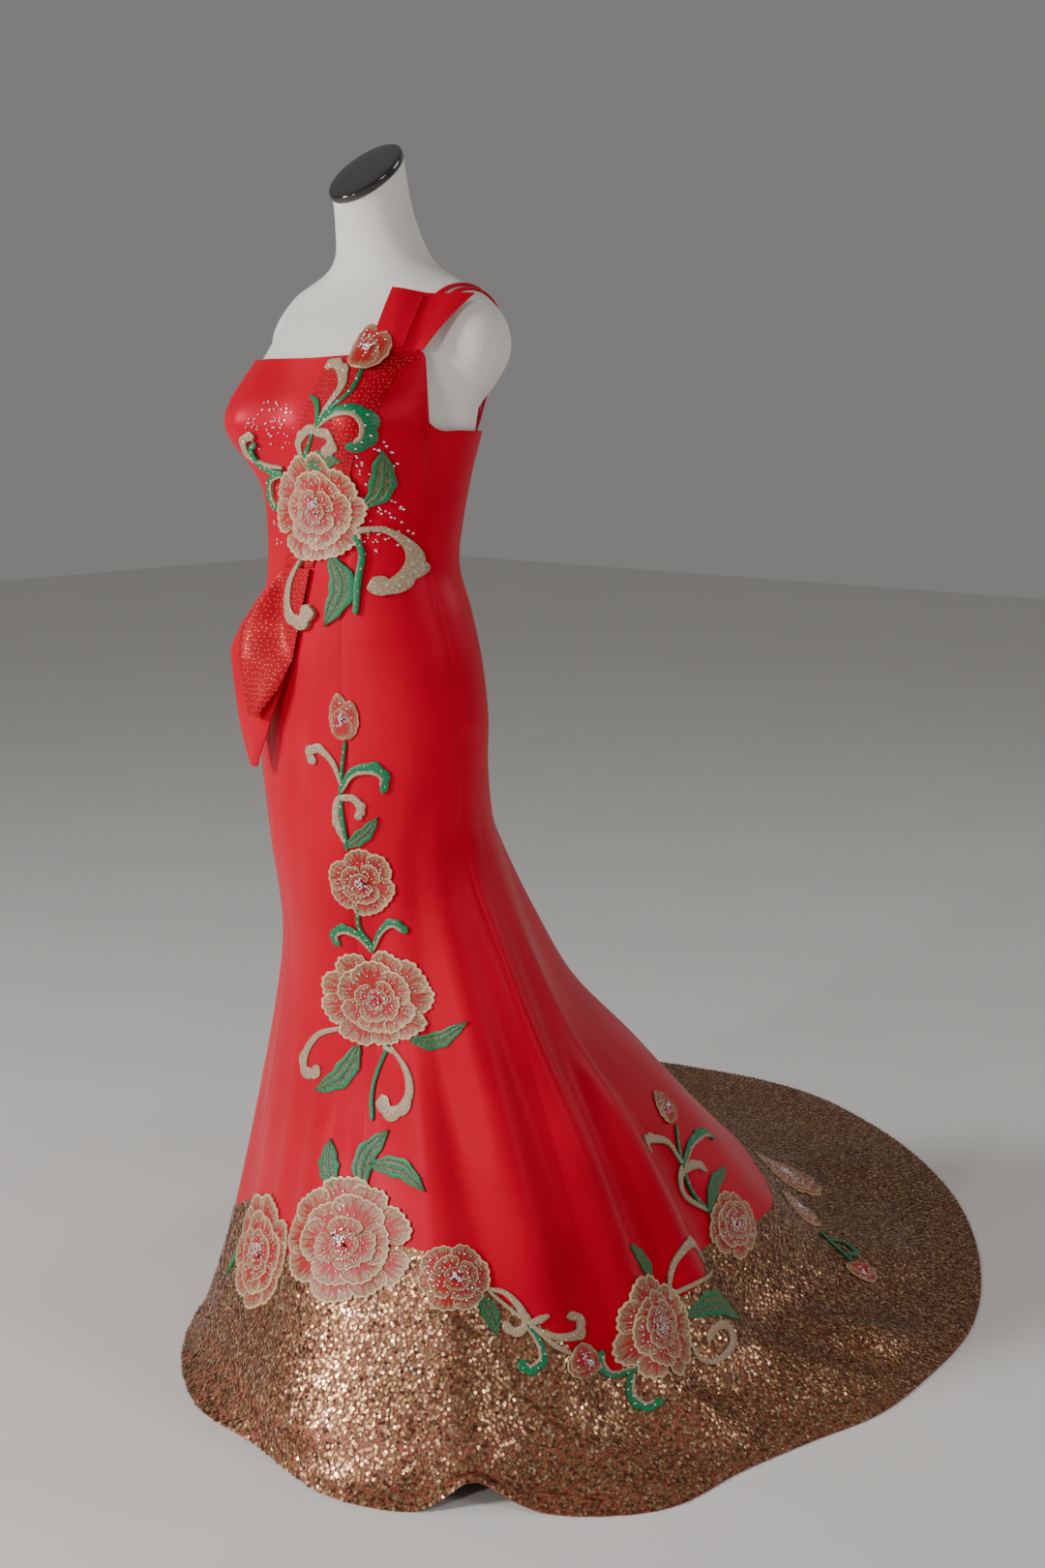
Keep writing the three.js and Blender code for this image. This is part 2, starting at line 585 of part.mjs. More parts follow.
function sashGrid(lift, grow = 0) {
  const levels = SASH_ROWS.map((row) => row.level);
  const grid = [];
  for (let i = 0; i <= SASH_CELLS.down; i += 1) {
    const s = i / SASH_CELLS.down;
    const level = mix(levels[0], levels.at(-1), s);
    const left = table(levels, SASH_ROWS.map((row) => row.left), level) - grow;
    const right = table(levels, SASH_ROWS.map((row) => row.right), level) + grow;
    const line = [];
    for (let j = 0; j <= SASH_CELLS.across; j += 1) {
      const angle = mix(left, right, j / SASH_CELLS.across);
      line.push(facetPoint(angle, level + (2 * s - 1) * grow * SASH_END_GROWTH, lift));
    }
    grid.push(line);
  }
  return grid;
}
const sash = clearOf(solidOf(wallGeometry(sashGrid(SASH_LIFT + SASH), sashGrid(SASH_LIFT))), [keepOut]);
add("sash", geometryOfSolid(sash), DOTTED);
const sashKeepOut = solidOf(wallGeometry(
  sashGrid(SASH_LIFT + SASH + SEAM, SASH_ROOM.beside),
  sashGrid(SASH_LIFT - SASH_ROOM.below, SASH_ROOM.beside),
));

// Two tails of the sash hang from the waist: flat at their right edge, standing off at their left one
const TAILS = [
  {
    name: "sash_tail_plain",
    material: SATIN,
    flush: 0.8,
    rows: [
      { level: 5.98, left: -101, right: -82, off: 0.8 },
      { level: 6.5, left: -112, right: -85, off: 13 },
      { level: 7.2, left: -123, right: -90, off: 25 },
      { level: 7.85, left: -131, right: -94, off: 33 },
      { level: 8.5, left: -123, right: -98, off: 31 },
      { level: 9.2, left: -120, right: -104, off: 27 },
      { level: 9.85, left: -116, right: -111, off: 24 },
    ],
  },
  {
    name: "sash_tail_dotted",
    material: DOTTED,
    flush: 3.4,
    rows: [
      { level: 5.98, left: -99, right: -80, off: 3.4 },
      { level: 6.4, left: -106, right: -83, off: 15.6 },
      { level: 6.95, left: -113, right: -87, off: 27 },
      { level: 7.35, left: -116, right: -89, off: 33 },
      { level: 7.9, left: -113, right: -92, off: 38 },
      { level: 8.4, left: -110, right: -96, off: 36 },
      { level: 8.9, left: -107, right: -103, off: 33 },
    ],
  },
];
const TAIL_CELLS = 6;
// The tails stand off left of a hinge, by level
const HINGE = { levels: [6, 7.1, 8, 9], angles: [-99, -99, -88, -84], nearest: -106 };
function tailWall({ flush, rows }, low, high) {
  const ends = rows.map((row) => row.level);
  const standOff = (angle, level) => {
    const hinge = table(HINGE.levels, HINGE.angles, level);
    const left = Math.min(table(ends, rows.map((row) => row.left), level), HINGE.nearest);
    const stand = table(ends, rows.map((row) => row.off), level);
    return flush + (stand - flush) * smooth((hinge - angle) / (hinge - left));
  };
  const grid = (lift) =>
    rows.map(({ level, left, right }) =>
      [...Array(TAIL_CELLS + 1).keys()].map((j) => {
        const angle = mix(left, right, j / TAIL_CELLS);
        const out = CLOTH + standOff(angle, level) + lift;
        return gown(angle, level).addScaledVector(clothFrame(angle, level).normal, out);
      }),
    );
  return wallGeometry(grid(high), grid(low));
}
for (const tail of TAILS) add(tail.name, tailWall(tail, 0, CLOTH), tail.material);
const tailSpaces = TAILS.map((tail) => solidOf(tailWall(tail, -SEAM, CLOTH + SEAM)));

// Shoulder flap: a folded point that stands from the bodice's top edge over the left shoulder
// Its foot stands on the top edge at some angles and ends free over the armhole
const onTopEdge = (angle) => {
  const { x, y, z } = facetPoint(angle, topEdge(angle), -CLOTH / 2);
  return [x, y, z + SEAM];
};
const FLAP = {
  foot: [...[-56, -48, -41, -34.5].map(onTopEdge), [132, -47, 1240.6]],
  head: [[91, -53, 1309], [104, -41, 1306], [119, -27, 1303], [136, -7, 1302], [154, 14, 1302]],
};
const FLAP_ROWS = 4;
const FLAP_COLUMNS = 8;
const FLAP_BOW = 5;
const FLAP_WHOLE = [{ across: 0, up: 0 }, { across: 1, up: 1, upRight: 1 }];
// The turned-back fold on the flap's right end, and the room that others leave round it
const FOLD_LIFT = CLOTH + 0.5;
const FOLD_COLUMNS = 4;
const FOLD = [{ across: 0.03, up: 0.06 }, { across: 0.47, up: 0.84, upRight: 0.93 }];
const FOLD_ROOM = [{ across: 0.01, up: 0.04 }, { across: 0.49, up: 0.87, upRight: 0.96 }];
// The flap's point at a share across (0 is its right end) and a share up, moved out by lift
function flapPoint(across, up, lift) {
  const stops = FLAP.foot.map((_, i) => i / (FLAP.foot.length - 1));
  const on = (list, share) => {
    const [x, y, z] = [0, 1, 2].map((k) => table(stops, list.map((p) => p[k]), share));
    return new THREE.Vector3(x, y, z);
  };
  const foot = on(FLAP.foot, across);
  const head = on(FLAP.head, across);
  const along = on(FLAP.foot, across + 0.1).sub(on(FLAP.foot, across - 0.1));
  const out = along.cross(head.clone().sub(foot)).normalize();
  return foot.lerp(head, up).addScaledVector(out, lift + FLAP_BOW * 4 * up * (1 - up));
}
function flapWall(cells, low, high, lift, grow = 0) {
  const grid = (more) =>
    [...Array(FLAP_ROWS + 1).keys()].map((i) =>
      [...Array(cells + 1).keys()].map((j) => {
        const across = mix(low.across, high.across, j / cells);
        const up = mix(low.up, mix(high.up, high.upRight, j / cells), i / FLAP_ROWS);
        return flapPoint(across, up, lift + more);
      }));
  return wallGeometry(grid(CLOTH + grow), grid(-grow));
}
add("shoulder_flap", flapWall(FLAP_COLUMNS, ...FLAP_WHOLE, 0), SATIN);
const flapSpace = solidOf(flapWall(FLAP_COLUMNS, ...FLAP_WHOLE, 0, SEAM));
add("shoulder_fold", flapWall(FOLD_COLUMNS, ...FOLD, FOLD_LIFT), SATIN);
const foldSpace = solidOf(flapWall(FOLD_COLUMNS, ...FOLD_ROOM, FOLD_LIFT, SEAM));

// Embroidered patches. Each group has an anchor on the cloth (angle, level); x runs across from it and
// y up, in millimetres. A flower is a scalloped disc, and a spray joins strips and leaves in one piece.
const PETAL_STEPS = 16;
const STRIP_STEP = 16; // millimetres along a strip
const FLOWER_ROOM = 1; // room that strips leave over a flower
const FLOWER_RINGS = [
  { share: 0.3, rise: 1.4, scallop: 0 },
  { share: 0.62, rise: 0.5, scallop: 0.02 },
  { share: 0.8, rise: 1.1, scallop: 0.03 },
  { share: 1, rise: 0, scallop: 0.05 },
];
const PATCH_GROUPS = [
  {
    name: "bodice", anchor: [-76, 4.7], thick: BODICE_PATCH,
    flowers: [
      { name: "peony", x: -6, y: -2, wide: 60, high: 61, lobes: 8 },
      { name: "bud", x: 60, y: 169, wide: 18, high: 26, lobes: 4 },
    ],
    sprays: [
      {
        name: "vine", color: GREEN, over: OVER_SASH,
        strips: [
          { path: [[65, 138], [58, 118], [32, 100], [9, 84], [-24, 50]], widths: [4, 5, 6] },
          { path: [[27, 97], [47, 124], [41, 143], [23, 155], [7, 151]], widths: [5, 13, 9] },
          { path: [[20, 88], [13, 109], [-8, 120]], widths: [10, 9, 3] },
          { path: [[18, 88], [52, 103], [71, 104], [80, 90], [74, 72], [57, 67]], widths: [8, 14, 8] },
          { path: [[18, 84], [-7, 84], [-26, 71], [-24, 53]], widths: [10, 12, 6] },
          { path: [[14, 82], [40, 80], [40, 68], [20, 60]], widths: [9, 12, 9] },
          { path: [[-24, 49], [4, 50], [28, 54], [44, 52]], widths: [7, 21, 3] },
        ],
      },
      {
        name: "leaf_right", color: GREEN,
        strips: [{ path: [[50, 0], [76, 24], [92, 57]], widths: [8, 27, 3] }],
      },
      {
        name: "curl_left", color: GREEN,
        strips: [{ path: [[-58, 38], [-88, 42], [-106, 54], [-99, 70], [-86, 74]], widths: [5, 12, 7] }],
      },
      {
        name: "scroll_right", color: GOLD,
        strips: [
          {
            path: [[45, -24], [70, -25], [86, -40], [90, -60], [83, -80], [70, -90], [58, -79]],
            widths: [5, 13, 20],
          },
          { path: [[40, -31], [47, -52], [44, -83], [43, -121]], widths: [6, 7, 6] },
          { path: [[40, -30], [48, -26], [56, -25]], widths: [6, 6, 6] },
        ],
      },
      {
        name: "leaf_low", color: GREEN,
        strips: [{ path: [[14, -56], [27, -92], [7, -136]], widths: [10, 29, 4] }],
      },
      {
        name: "scroll_left", color: GOLD, over: OVER_TAIL,
        strips: [{
          path: [[-24, -62], [-40, -88], [-45, -114], [-36, -130], [-20, -131], [-13, -112]],
          widths: [4, 13, 17],
        }],
      },
    ],
  },
  {
    name: "skirt", anchor: [-52, 11.22], thick: PATCH,
    flowers: [
      { name: "bud", x: -16, y: 194, wide: 19, high: 26, lobes: 4 },
      { name: "peony_small", x: 0, y: 0, wide: 39, high: 39, lobes: 8 },
    ],
    sprays: [
      {
        name: "vine", color: GREEN,
        strips: [
          { path: [[-14, 168], [-19, 137], [-22, 105], [-21, 77], [-16, 38]], widths: [4, 5, 6] },
          { path: [[-21, 118], [-30, 141], [-46, 155], [-60, 150], [-54, 136]], widths: [5, 10, 10] },
          { path: [[-22, 108], [-8, 131], [14, 138], [30, 129], [28, 108]], widths: [6, 15, 7] },
          { path: [[-12, 102], [-25, 98], [-29, 76], [-17, 46]], widths: [9, 10, 5] },
          { path: [[-22, 101], [-6, 101], [2, 90], [-3, 76]], widths: [8, 11, 8] },
          { path: [[-17, 42], [6, 60], [21, 80]], widths: [7, 17, 3] },
        ],
      },
      {
        name: "curls", color: GREEN,
        strips: [
          { path: [[-6, -32], [-5, -55], [7, -72], [12, -84]], widths: [5, 5, 6] },
          { path: [[11, -82], [-4, -65], [-24, -58], [-37, -68], [-29, -79]], widths: [5, 12, 7] },
          { path: [[11, -80], [22, -56], [38, -46], [55, -56]], widths: [5, 10, 8] },
        ],
      },
    ],
  },
  {
    name: "skirt_low", anchor: [-44, 12.47], thick: PATCH,
    flowers: [{ name: "peony", x: -2, y: 3, wide: 70, high: 58, lobes: 8 }],
    sprays: [
      {
        name: "leaf_right", color: GREEN,
        strips: [{ path: [[48, -40], [80, -36], [110, -12]], widths: [8, 20, 3] }],
      },
      {
        name: "scroll_left", color: GOLD,
        strips: [{
          path: [[-46, -37], [-75, -48], [-94, -70], [-97, -92], [-82, -97], [-70, -86]],
          widths: [6, 11, 14],
        }],
      },
      {
        name: "leaf_left", color: GREEN,
        strips: [{ path: [[-20, -54], [-38, -92], [-74, -116]], widths: [10, 27, 5] }],
      },
      {
        name: "scroll_right", color: GOLD,
        strips: [
          {
            path: [[23, -50], [47, -72], [56, -99], [46, -120], [27, -125], [16, -107]],
            widths: [5, 13, 18],
          },
          { path: [[19, -48], [6, -82], [3, -110], [8, -138]], widths: [6, 5, 6] },
          { path: [[12, -52], [20, -54], [30, -56]], widths: [6, 6, 6] },
        ],
      },
    ],
  },
  {
    name: "hem", anchor: [-51, 15.02], thick: PATCH,
    flowers: [{ name: "peony_front", x: -20, y: 2, wide: 86, high: 71, lobes: 8 }],
    sprays: [
      {
        name: "leaf_front", color: GREEN,
        strips: [{ path: [[-49, 60], [-60, 86], [-62, 114]], widths: [12, 26, 4] }],
      },
      {
        name: "leaves_front", color: GREEN,
        strips: [
          { path: [[-13, 62], [-14, 100], [11, 134]], widths: [10, 27, 16] },
          { path: [[-8, 92], [36, 92], [70, 71]], widths: [12, 24, 4] },
        ],
      },
    ],
  },
  {
    name: "hem_right", anchor: [-101, 15.62], thick: PATCH,
    flowers: [{ name: "peony", x: -8, y: -2, wide: 76, high: 66, lobes: 8 }],
    sprays: [],
  },
  {
    name: "hem_left", anchor: [-28, 15.23], thick: PATCH,
    flowers: [
      { name: "peony", x: 1, y: 0, wide: 40, high: 38, lobes: 8 },
      { name: "bud", x: 149, y: -99, wide: 24, high: 20, lobes: 4 },
    ],
    sprays: [
      {
        name: "leaf", color: GREEN,
        strips: [{ path: [[28, -22], [40, -42], [46, -66]], widths: [8, 20, 4] }],
      },
      {
        name: "vine", color: GOLD,
        strips: [
          { path: [[36, -13], [59, -19], [76, -38], [80, -56], [66, -62], [55, -50]], widths: [5, 10, 10] },
          { path: [[38, -15], [65, -38], [88, -57], [111, -79], [130, -90]], widths: [4, 5, 5] },
          { path: [[84, -54], [96, -50], [106, -46]], widths: [6, 9, 4] },
          { path: [[80, -52], [94, -73], [98, -93], [84, -104], [70, -95]], widths: [6, 9, 12] },
          { path: [[90, -60], [116, -71], [140, -68], [142, -50], [126, -48]], widths: [5, 12, 8] },
        ],
      },
    ],
  },
  {
    name: "side", anchor: [10, 16.22], thick: PATCH,
    flowers: [{ name: "peony", x: 4, y: 1, wide: 58, high: 62, lobes: 8 }],
    sprays: [
      {
        name: "leaf_up", color: GREEN,
        strips: [{ path: [[32, 46], [28, 74], [5, 103]], widths: [9, 22, 4] }],
      },
      {
        name: "scroll", color: GOLD,
        strips: [
          { path: [[50, 26], [70, 54], [103, 62], [127, 46], [132, 26]], widths: [5, 13, 9] },
          { path: [[48, 22], [95, 16], [150, 9]], widths: [6, 5, 4] },
          { path: [[46, 18], [52, 24], [54, 34]], widths: [6, 6, 6] },
        ],
      },
      {
        name: "leaf_right", color: GREEN,
        strips: [{ path: [[58, -9], [108, -18], [151, -57]], widths: [12, 30, 5] }],
      },
      {
        name: "spiral", color: GOLD,
        strips: [{
          path: [[49, -40], [50, -62], [68, -74], [98, -67], [104, -48], [84, -40], [68, -50]],
          widths: [5, 11, 8],
        }],
      },
      {
        name: "curls", color: GREEN,
        strips: [
          { path: [[-44, -25], [-66, -18], [-70, -1], [-63, 12]], widths: [7, 9, 7] },
          { path: [[-50, -27], [-61, -49], [-57, -67], [-42, -68]], widths: [7, 9, 9] },
        ],
      },
    ],
  },
  {
    name: "side_up", anchor: [45, 15.85], thick: PATCH,
    flowers: [
      { name: "peony", x: 0, y: 5, wide: 56, high: 42, lobes: 8 },
      { name: "bud", x: -28, y: 176, wide: 30, high: 22, lobes: 4 },
    ],
    sprays: [
      {
        name: "vine", color: GREEN,
        strips: [
          { path: [[-26, 150], [-46, 127], [-57, 103], [-59, 70], [-40, 35]], widths: [5, 6, 6] },
          { path: [[-57, 108], [-66, 138], [-97, 153], [-126, 154], [-124, 140]], widths: [6, 12, 10] },
          { path: [[-58, 104], [-10, 121], [46, 119], [66, 104]], widths: [8, 14, 8] },
          { path: [[-44, 40], [-78, 72], [-66, 97], [-24, 94], [-8, 80]], widths: [6, 12, 10] },
          { path: [[-44, 36], [-4, 60], [50, 68]], widths: [8, 20, 4] },
        ],
      },
    ],
  },
  {
    name: "train", anchor: [81, 17], thick: PATCH,
    flowers: [{ name: "peony", x: 0, y: 0, wide: 62, high: 54, lobes: 8 }],
    sprays: [],
  },
  {
    name: "train_side", anchor: [69, 16.75], thick: PATCH,
    flowers: [{ name: "peony", x: 0, y: 0, wide: 44, high: 36, lobes: 8 }],
    sprays: [],
  },
  {
    name: "train_end", anchor: [60, 17.2], thick: PATCH,
    flowers: [{ name: "bud", x: -46, y: -30, wide: 26, high: 20, lobes: 4 }],
    sprays: [
      {
        name: "vine", color: GREEN,
        strips: [
          { path: [[34, 30], [8, 12], [-24, -16]], widths: [5, 7, 5] },
          { path: [[18, 20], [30, -4], [6, -22], [-8, -8]], widths: [6, 9, 8] },
        ],
      },
    ],
  },
];

// A smooth route through a few points, as evenly spread places with their sideways direction
function routePlaces(path, count) {
  const curve = new THREE.CatmullRomCurve3(path.map(([x, y]) => new THREE.Vector3(x, y, 0)));
  return [...Array(count + 1).keys()].map((i) => {
    const s = i / count;
    const middle = curve.getPointAt(s);
    const ahead = curve.getTangentAt(s);
    return { s, middle, side: new THREE.Vector2(-ahead.y, ahead.x) };
  });
}

function anchorPlacer([angle0, level0], seat) {
  const origin = gown(angle0, level0);
  const { across, up } = clothFrame(angle0, level0);
  const local = (angle, level) => {
    const d = gown(angle, level).sub(origin);
    return [d.dot(across), d.dot(up)];
  };
  // the angle and level whose point lies (x, y) from the anchor, by Newton's steps
  return (x, y, lift) => {
    let angle = angle0;
    let level = level0;
    for (let pass = 0; pass < 14; pass += 1) {
      const [u, v] = local(angle, level);
      const [ua, va] = local(angle + 0.2, level);
      const [ul, vl] = local(angle, level - 0.02);
      const a = (ua - u) / 0.2;
      const b = (ul - u) / -0.02;
      const c = (va - v) / 0.2;
      const d = (vl - v) / -0.02;
      const det = a * d - b * c;
      const da = ((x - u) * d - (y - v) * b) / det;
      const dl = ((y - v) * a - (x - u) * c) / det;
      angle += THREE.MathUtils.clamp(da, -5, 5);
      level += THREE.MathUtils.clamp(dl, -0.4, 0.4);
    }
    return facetPoint(angle, level, seat + lift);
  };
}

function flowerSolid(place, flower, thick, grow) {
  const ring = ({ share, rise, scallop }, lift, spread) =>
    [...Array(PETAL_STEPS).keys()].map((j) => {
      const turn = (2 * Math.PI * j) / PETAL_STEPS;
      const wave = 1 + scallop * Math.cos(flower.lobes * turn);
      const x = flower.x + Math.cos(turn) * (flower.wide * share * wave + spread);
      const y = flower.y + Math.sin(turn) * (flower.high * share * wave + spread);
      return place(x, y, lift + (lift > 0 ? rise : 0));
    });
  const top = FLOWER_RINGS.map((row) => ring(row, thick + grow, grow));
  const bottom = [FLOWER_RINGS[3], FLOWER_RINGS[1]].map((row) => ring(row, -grow, grow));
  const middleTop = place(flower.x, flower.y, thick + FLOWER_RINGS[0].rise + grow);
  const middleBottom = place(flower.x, flower.y, -grow);
  return solidOf(loftGeometry([...top, ...bottom], middleTop, middleBottom));
}

function stripSolid(place, { path, widths }, low, high) {
  const run = path.slice(1).reduce((sum, [x, y], i) => sum + Math.hypot(x - path[i][0], y - path[i][1]), 0);
  const count = Math.max(4, Math.round(run / STRIP_STEP));
  const grid = (lift) =>
    routePlaces(path, count).map(({ s, middle, side }) => {
      const wide = table([0, 0.55, 1], widths, s) / 2;
      return [-1, 1].map((k) => place(middle.x + side.x * wide * k, middle.y + side.y * wide * k, lift));
    });
  return solidOf(wallGeometry(grid(high), grid(low)));
}

const flowerSpaces = [];
for (const { name, anchor, flowers, thick } of PATCH_GROUPS) {
  const place = anchorPlacer(anchor, PATCH_LIFT);
  for (const flower of flowers) {
    const spaces = [keepOut, sashKeepOut, flapSpace, foldSpace, ...tailSpaces];
    const solid = clearOf(flowerSolid(place, flower, thick, 0), spaces);
    add(`${name}_${flower.name}`, geometryOfSolid(solid), GOLD);
    flowerSpaces.push(flowerSolid(place, flower, thick + FLOWER_ROOM, PATCH_GAP));
  }
}
for (const { name, anchor, sprays, thick } of PATCH_GROUPS) {
  const place = anchorPlacer(anchor, PATCH_LIFT);
  for (const spray of sprays) {
    const low = spray.over ?? 0;
    const high = Math.max(thick, low + PATCH);
    const strips = spray.strips.map((strip) => stripSolid(place, strip, low, high));
    const joined = strips.reduce((a, b) => a.add(b));
    const clear = clearOf(joined, [keepOut, sashKeepOut, ...tailSpaces, ...flowerSpaces]);
    add(`${name}_${spray.name}`, geometryOfSolid(clear), spray.color);
  }
}

// Dress form: the covered part follows the gown, the shoulders and neck follow their own table
function shoulderPoint(row, angle) {
  const c = Math.cos(rad(angle));
  const s = Math.sin(rad(angle));
  const depth = s < 0 ? row.front : row.back;
  const point = new THREE.Vector3(row.half * c, row.centre + depth * s, row.z);
  // where the ray from the section's centre leaves the round end of the shoulder
  const ray = new THREE.Vector2(point.x, point.y - row.centre);
  const chest = ray.length();
  ray.normalize();
  const arm = new THREE.Vector2(Math.sign(c) * row.armX, row.armY - row.centre);
  const along = arm.dot(ray);
  const beside = arm.clone().addScaledVector(ray, -along).length();
  const chord = Math.sqrt(Math.max(row.arm ** 2 - beside ** 2, 0));
  const reach = along + chord - Math.max(beside - row.arm, 0) * ARM_FALL;
  const weight = (distance) => Math.exp(ARM_BLEND * (distance - SHOULDER_REACH));
  const far = Math.log(weight(chest) + weight(reach)) / ARM_BLEND + SHOULDER_REACH;
  point.set(ray.x * far, row.centre + ray.y * far, row.z);
  addCups(point, BUST_SHARE);
  return point;
}

function formRings() {
  const columns = [...Array(COLUMNS / 2).keys()].map((i) => 2 * i);
  const covered = PLAIN_LEVELS.filter((level) => level <= 10).reverse();
  const rings = covered.map((level) =>
    columns.map((column) => {
      const { inner, normal } = gridPoint(column, NECK_CELLS + level - NECK_END);
      const point = inner.clone().addScaledVector(normal, -FORM_GAP);
      addCups(point, BUST_SHARE - 1);
      return point;
    }),
  );
  const highAngles = columns.map((column) => angleOfColumn(column, NECK_END));
  for (const level of [3.6, 3.2]) {
    rings.push(highAngles.map((angle) => {
      const point = gown(angle, level).addScaledVector(clothFrame(angle, level).normal, -FORM_GAP_HIGH);
      addCups(point, BUST_SHARE - 1);
      return point;
    }));
  }
  for (const row of SHOULDERS) rings.push(highAngles.map((angle) => shoulderPoint(row, angle)));
  const neck = (z, slope) =>
    highAngles.map((angle) => {
      const x = NECK_TOP.radius * Math.cos(rad(angle));
      const y = NECK_TOP.radius * Math.sin(rad(angle));
      return new THREE.Vector3(x, NECK_TOP.centre + y, z + slope * y);
    });
  rings.push(neck(NECK_TOP.z - NECK_TOP.below, NECK_TOP.slope * NECK_TOP.rise));
  rings.push(neck(NECK_TOP.z, NECK_TOP.slope));
  return rings;
}
const middleOf = (ring) =>
  ring.reduce((sum, p) => sum.add(p), new THREE.Vector3()).divideScalar(ring.length);
const loftOf = (list) => loftGeometry(list, middleOf(list[0]), middleOf(list.at(-1)));
const rings = formRings();
add("dress_form", loftOf(rings), SKIN);
// The form's space with the seam gap over it
const formSpace = solidOf(loftOf(rings.map((ring) => {
  const middle = middleOf(ring);
  return ring.map((p) => p.clone().add(p.clone().sub(middle).setZ(0).setLength(SEAM)));
})));

// Two thin straps run from behind the shoulder flap over the shoulder to the back's top edge
// They lie on the form, and from the step where they leave it they are taut down to the edge
const STRAP = { wide: 6, thick: 2, apart: 11, steps: 24, leaves: 14, clear: 1.6, seenFrom: 80 };
const STRAP_ROUTE = [
  [122, -14, 1296], [124, 20, 1306], [125, 50, 1298], [127, 73, 1268], [127, 77, 1240], [111, 75, 1196],
  [108, 73, 1152.3],
].map((xyz) => new THREE.Vector3(...xyz));
const SHOULDER_MIDDLE = new THREE.Vector3(80, 30, 1235);
function strapGeometry(beside) {
  const form = model.getObjectByName("dress_form");
  const curve = new THREE.CatmullRomCurve3(STRAP_ROUTE);
  const front = [];
  const back = [];
  const outs = [];
  for (let i = 0; i <= STRAP.steps; i += 1) {
    const at = curve.getPointAt(i / STRAP.steps);
    const middle = SHOULDER_MIDDLE.clone().setZ(Math.min(SHOULDER_MIDDLE.z, at.z));
    const out = at.clone().sub(middle).normalize();
    const side = curve.getTangentAt(i / STRAP.steps).cross(out).normalize();
    const line = [-1, 1].map((k) => {
      const over = at.clone().addScaledVector(side, beside + (k * STRAP.wide) / 2);
      const start = over.clone().addScaledVector(out, STRAP.seenFrom);
      const ray = new THREE.Raycaster(start, out.clone().negate());
      return ray.intersectObject(form)[0].point;
    });
    front.push(line.map((hit) => hit.clone().addScaledVector(out, STRAP.clear + STRAP.thick)));
    back.push(line.map((hit) => hit.clone().addScaledVector(out, STRAP.clear)));
    outs.push(out);
  }
  for (let i = STRAP.leaves + 1; i < STRAP.steps; i += 1) {
    const share = (i - STRAP.leaves) / (STRAP.steps - STRAP.leaves);
    [front, back].forEach((face) => face[i].forEach((point, k) => {
      const taut = face[STRAP.leaves][k].clone().lerp(face[STRAP.steps][k], share);
      point.addScaledVector(outs[i], Math.max(0, taut.sub(point).dot(outs[i])));
    }));
  }
  return geometryOfSolid(clearOf(solidOf(wallGeometry(front, back)), [formSpace, keepOut]));
}
add("strap_outer", strapGeometry(-STRAP.apart / 2), SATIN);
add("strap_inner", strapGeometry(STRAP.apart / 2), SATIN);

// Neck cap: a glossy disc on the neck's sloping top
const capProfile = [
  [0, 0], [CAP.radius, 0], [CAP.radius, CAP.thick - CAP.edge],
  [CAP.radius - CAP.edge, CAP.thick], [0, CAP.thick],
].map(([x, y]) => new THREE.Vector2(x, y));
const capGeometry = new THREE.LatheGeometry(capProfile, 32);
capGeometry.rotateX(Math.PI / 2);
capGeometry.scale(1, Math.sqrt(1 + NECK_TOP.slope ** 2), 1);
capGeometry.rotateX(Math.atan(NECK_TOP.slope));
const capNormal = new THREE.Vector3(0, -NECK_TOP.slope, 1).normalize();
capGeometry.translate(0, NECK_TOP.centre, NECK_TOP.z);
capGeometry.translate(0, capNormal.y * CAP.gap, capNormal.z * CAP.gap);
add("neck_cap", capGeometry, BLACK);

// Stand: a pole under the form and a cross of flat bars
const formBottom = rings[0].reduce((low, p) => Math.min(low, p.z), Infinity);
const poleTop = formBottom - SEAM;
const poleFoot = BASE.thick + SEAM;
const poleProfile = [
  [0, poleFoot], [POLE.radius, poleFoot], [POLE.radius, poleTop - POLE.flangeThick],
  [POLE.flange, poleTop - POLE.flangeThick], [POLE.flange, poleTop], [0, poleTop],
].map(([x, y]) => new THREE.Vector2(x, y));
const poleGeometry = new THREE.LatheGeometry(poleProfile, 24);
poleGeometry.rotateX(Math.PI / 2);
add("stand_pole", poleGeometry, STEEL);
const half = BASE.wide / 2;
const crossOutline = [];
for (const turn of [0, 1, 2, 3]) {
  for (const [x, y] of [[BASE.arm, -half], [BASE.arm, half], [half, half]]) {
    crossOutline.push(new THREE.Vector2(x, y).rotateAround(new THREE.Vector2(), (turn * Math.PI) / 2));
  }
}
const baseGeometry = new THREE.ExtrudeGeometry(new THREE.Shape(crossOutline), {
  depth: BASE.thick,
  bevelEnabled: false,
});
add("stand_base", baseGeometry, STEEL);

export default model;
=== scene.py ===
"""A one-shoulder mermaid wedding gown with a sequinned train, on an armless dress form.

Every piece is a surface worked out as whole arrays. Tables and shapes are in millimetres, in the
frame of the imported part: the origin on the floor under the form, the gown's front towards -Y, its
left side +X. An angle of -90 degrees is the centre front; a level counts rows of the gown's tables
from the shoulder (0) to the hem (19).
"""

import math

import bpy
import numpy as np
from mathutils import Matrix, Vector
from mathutils.bvhtree import BVHTree


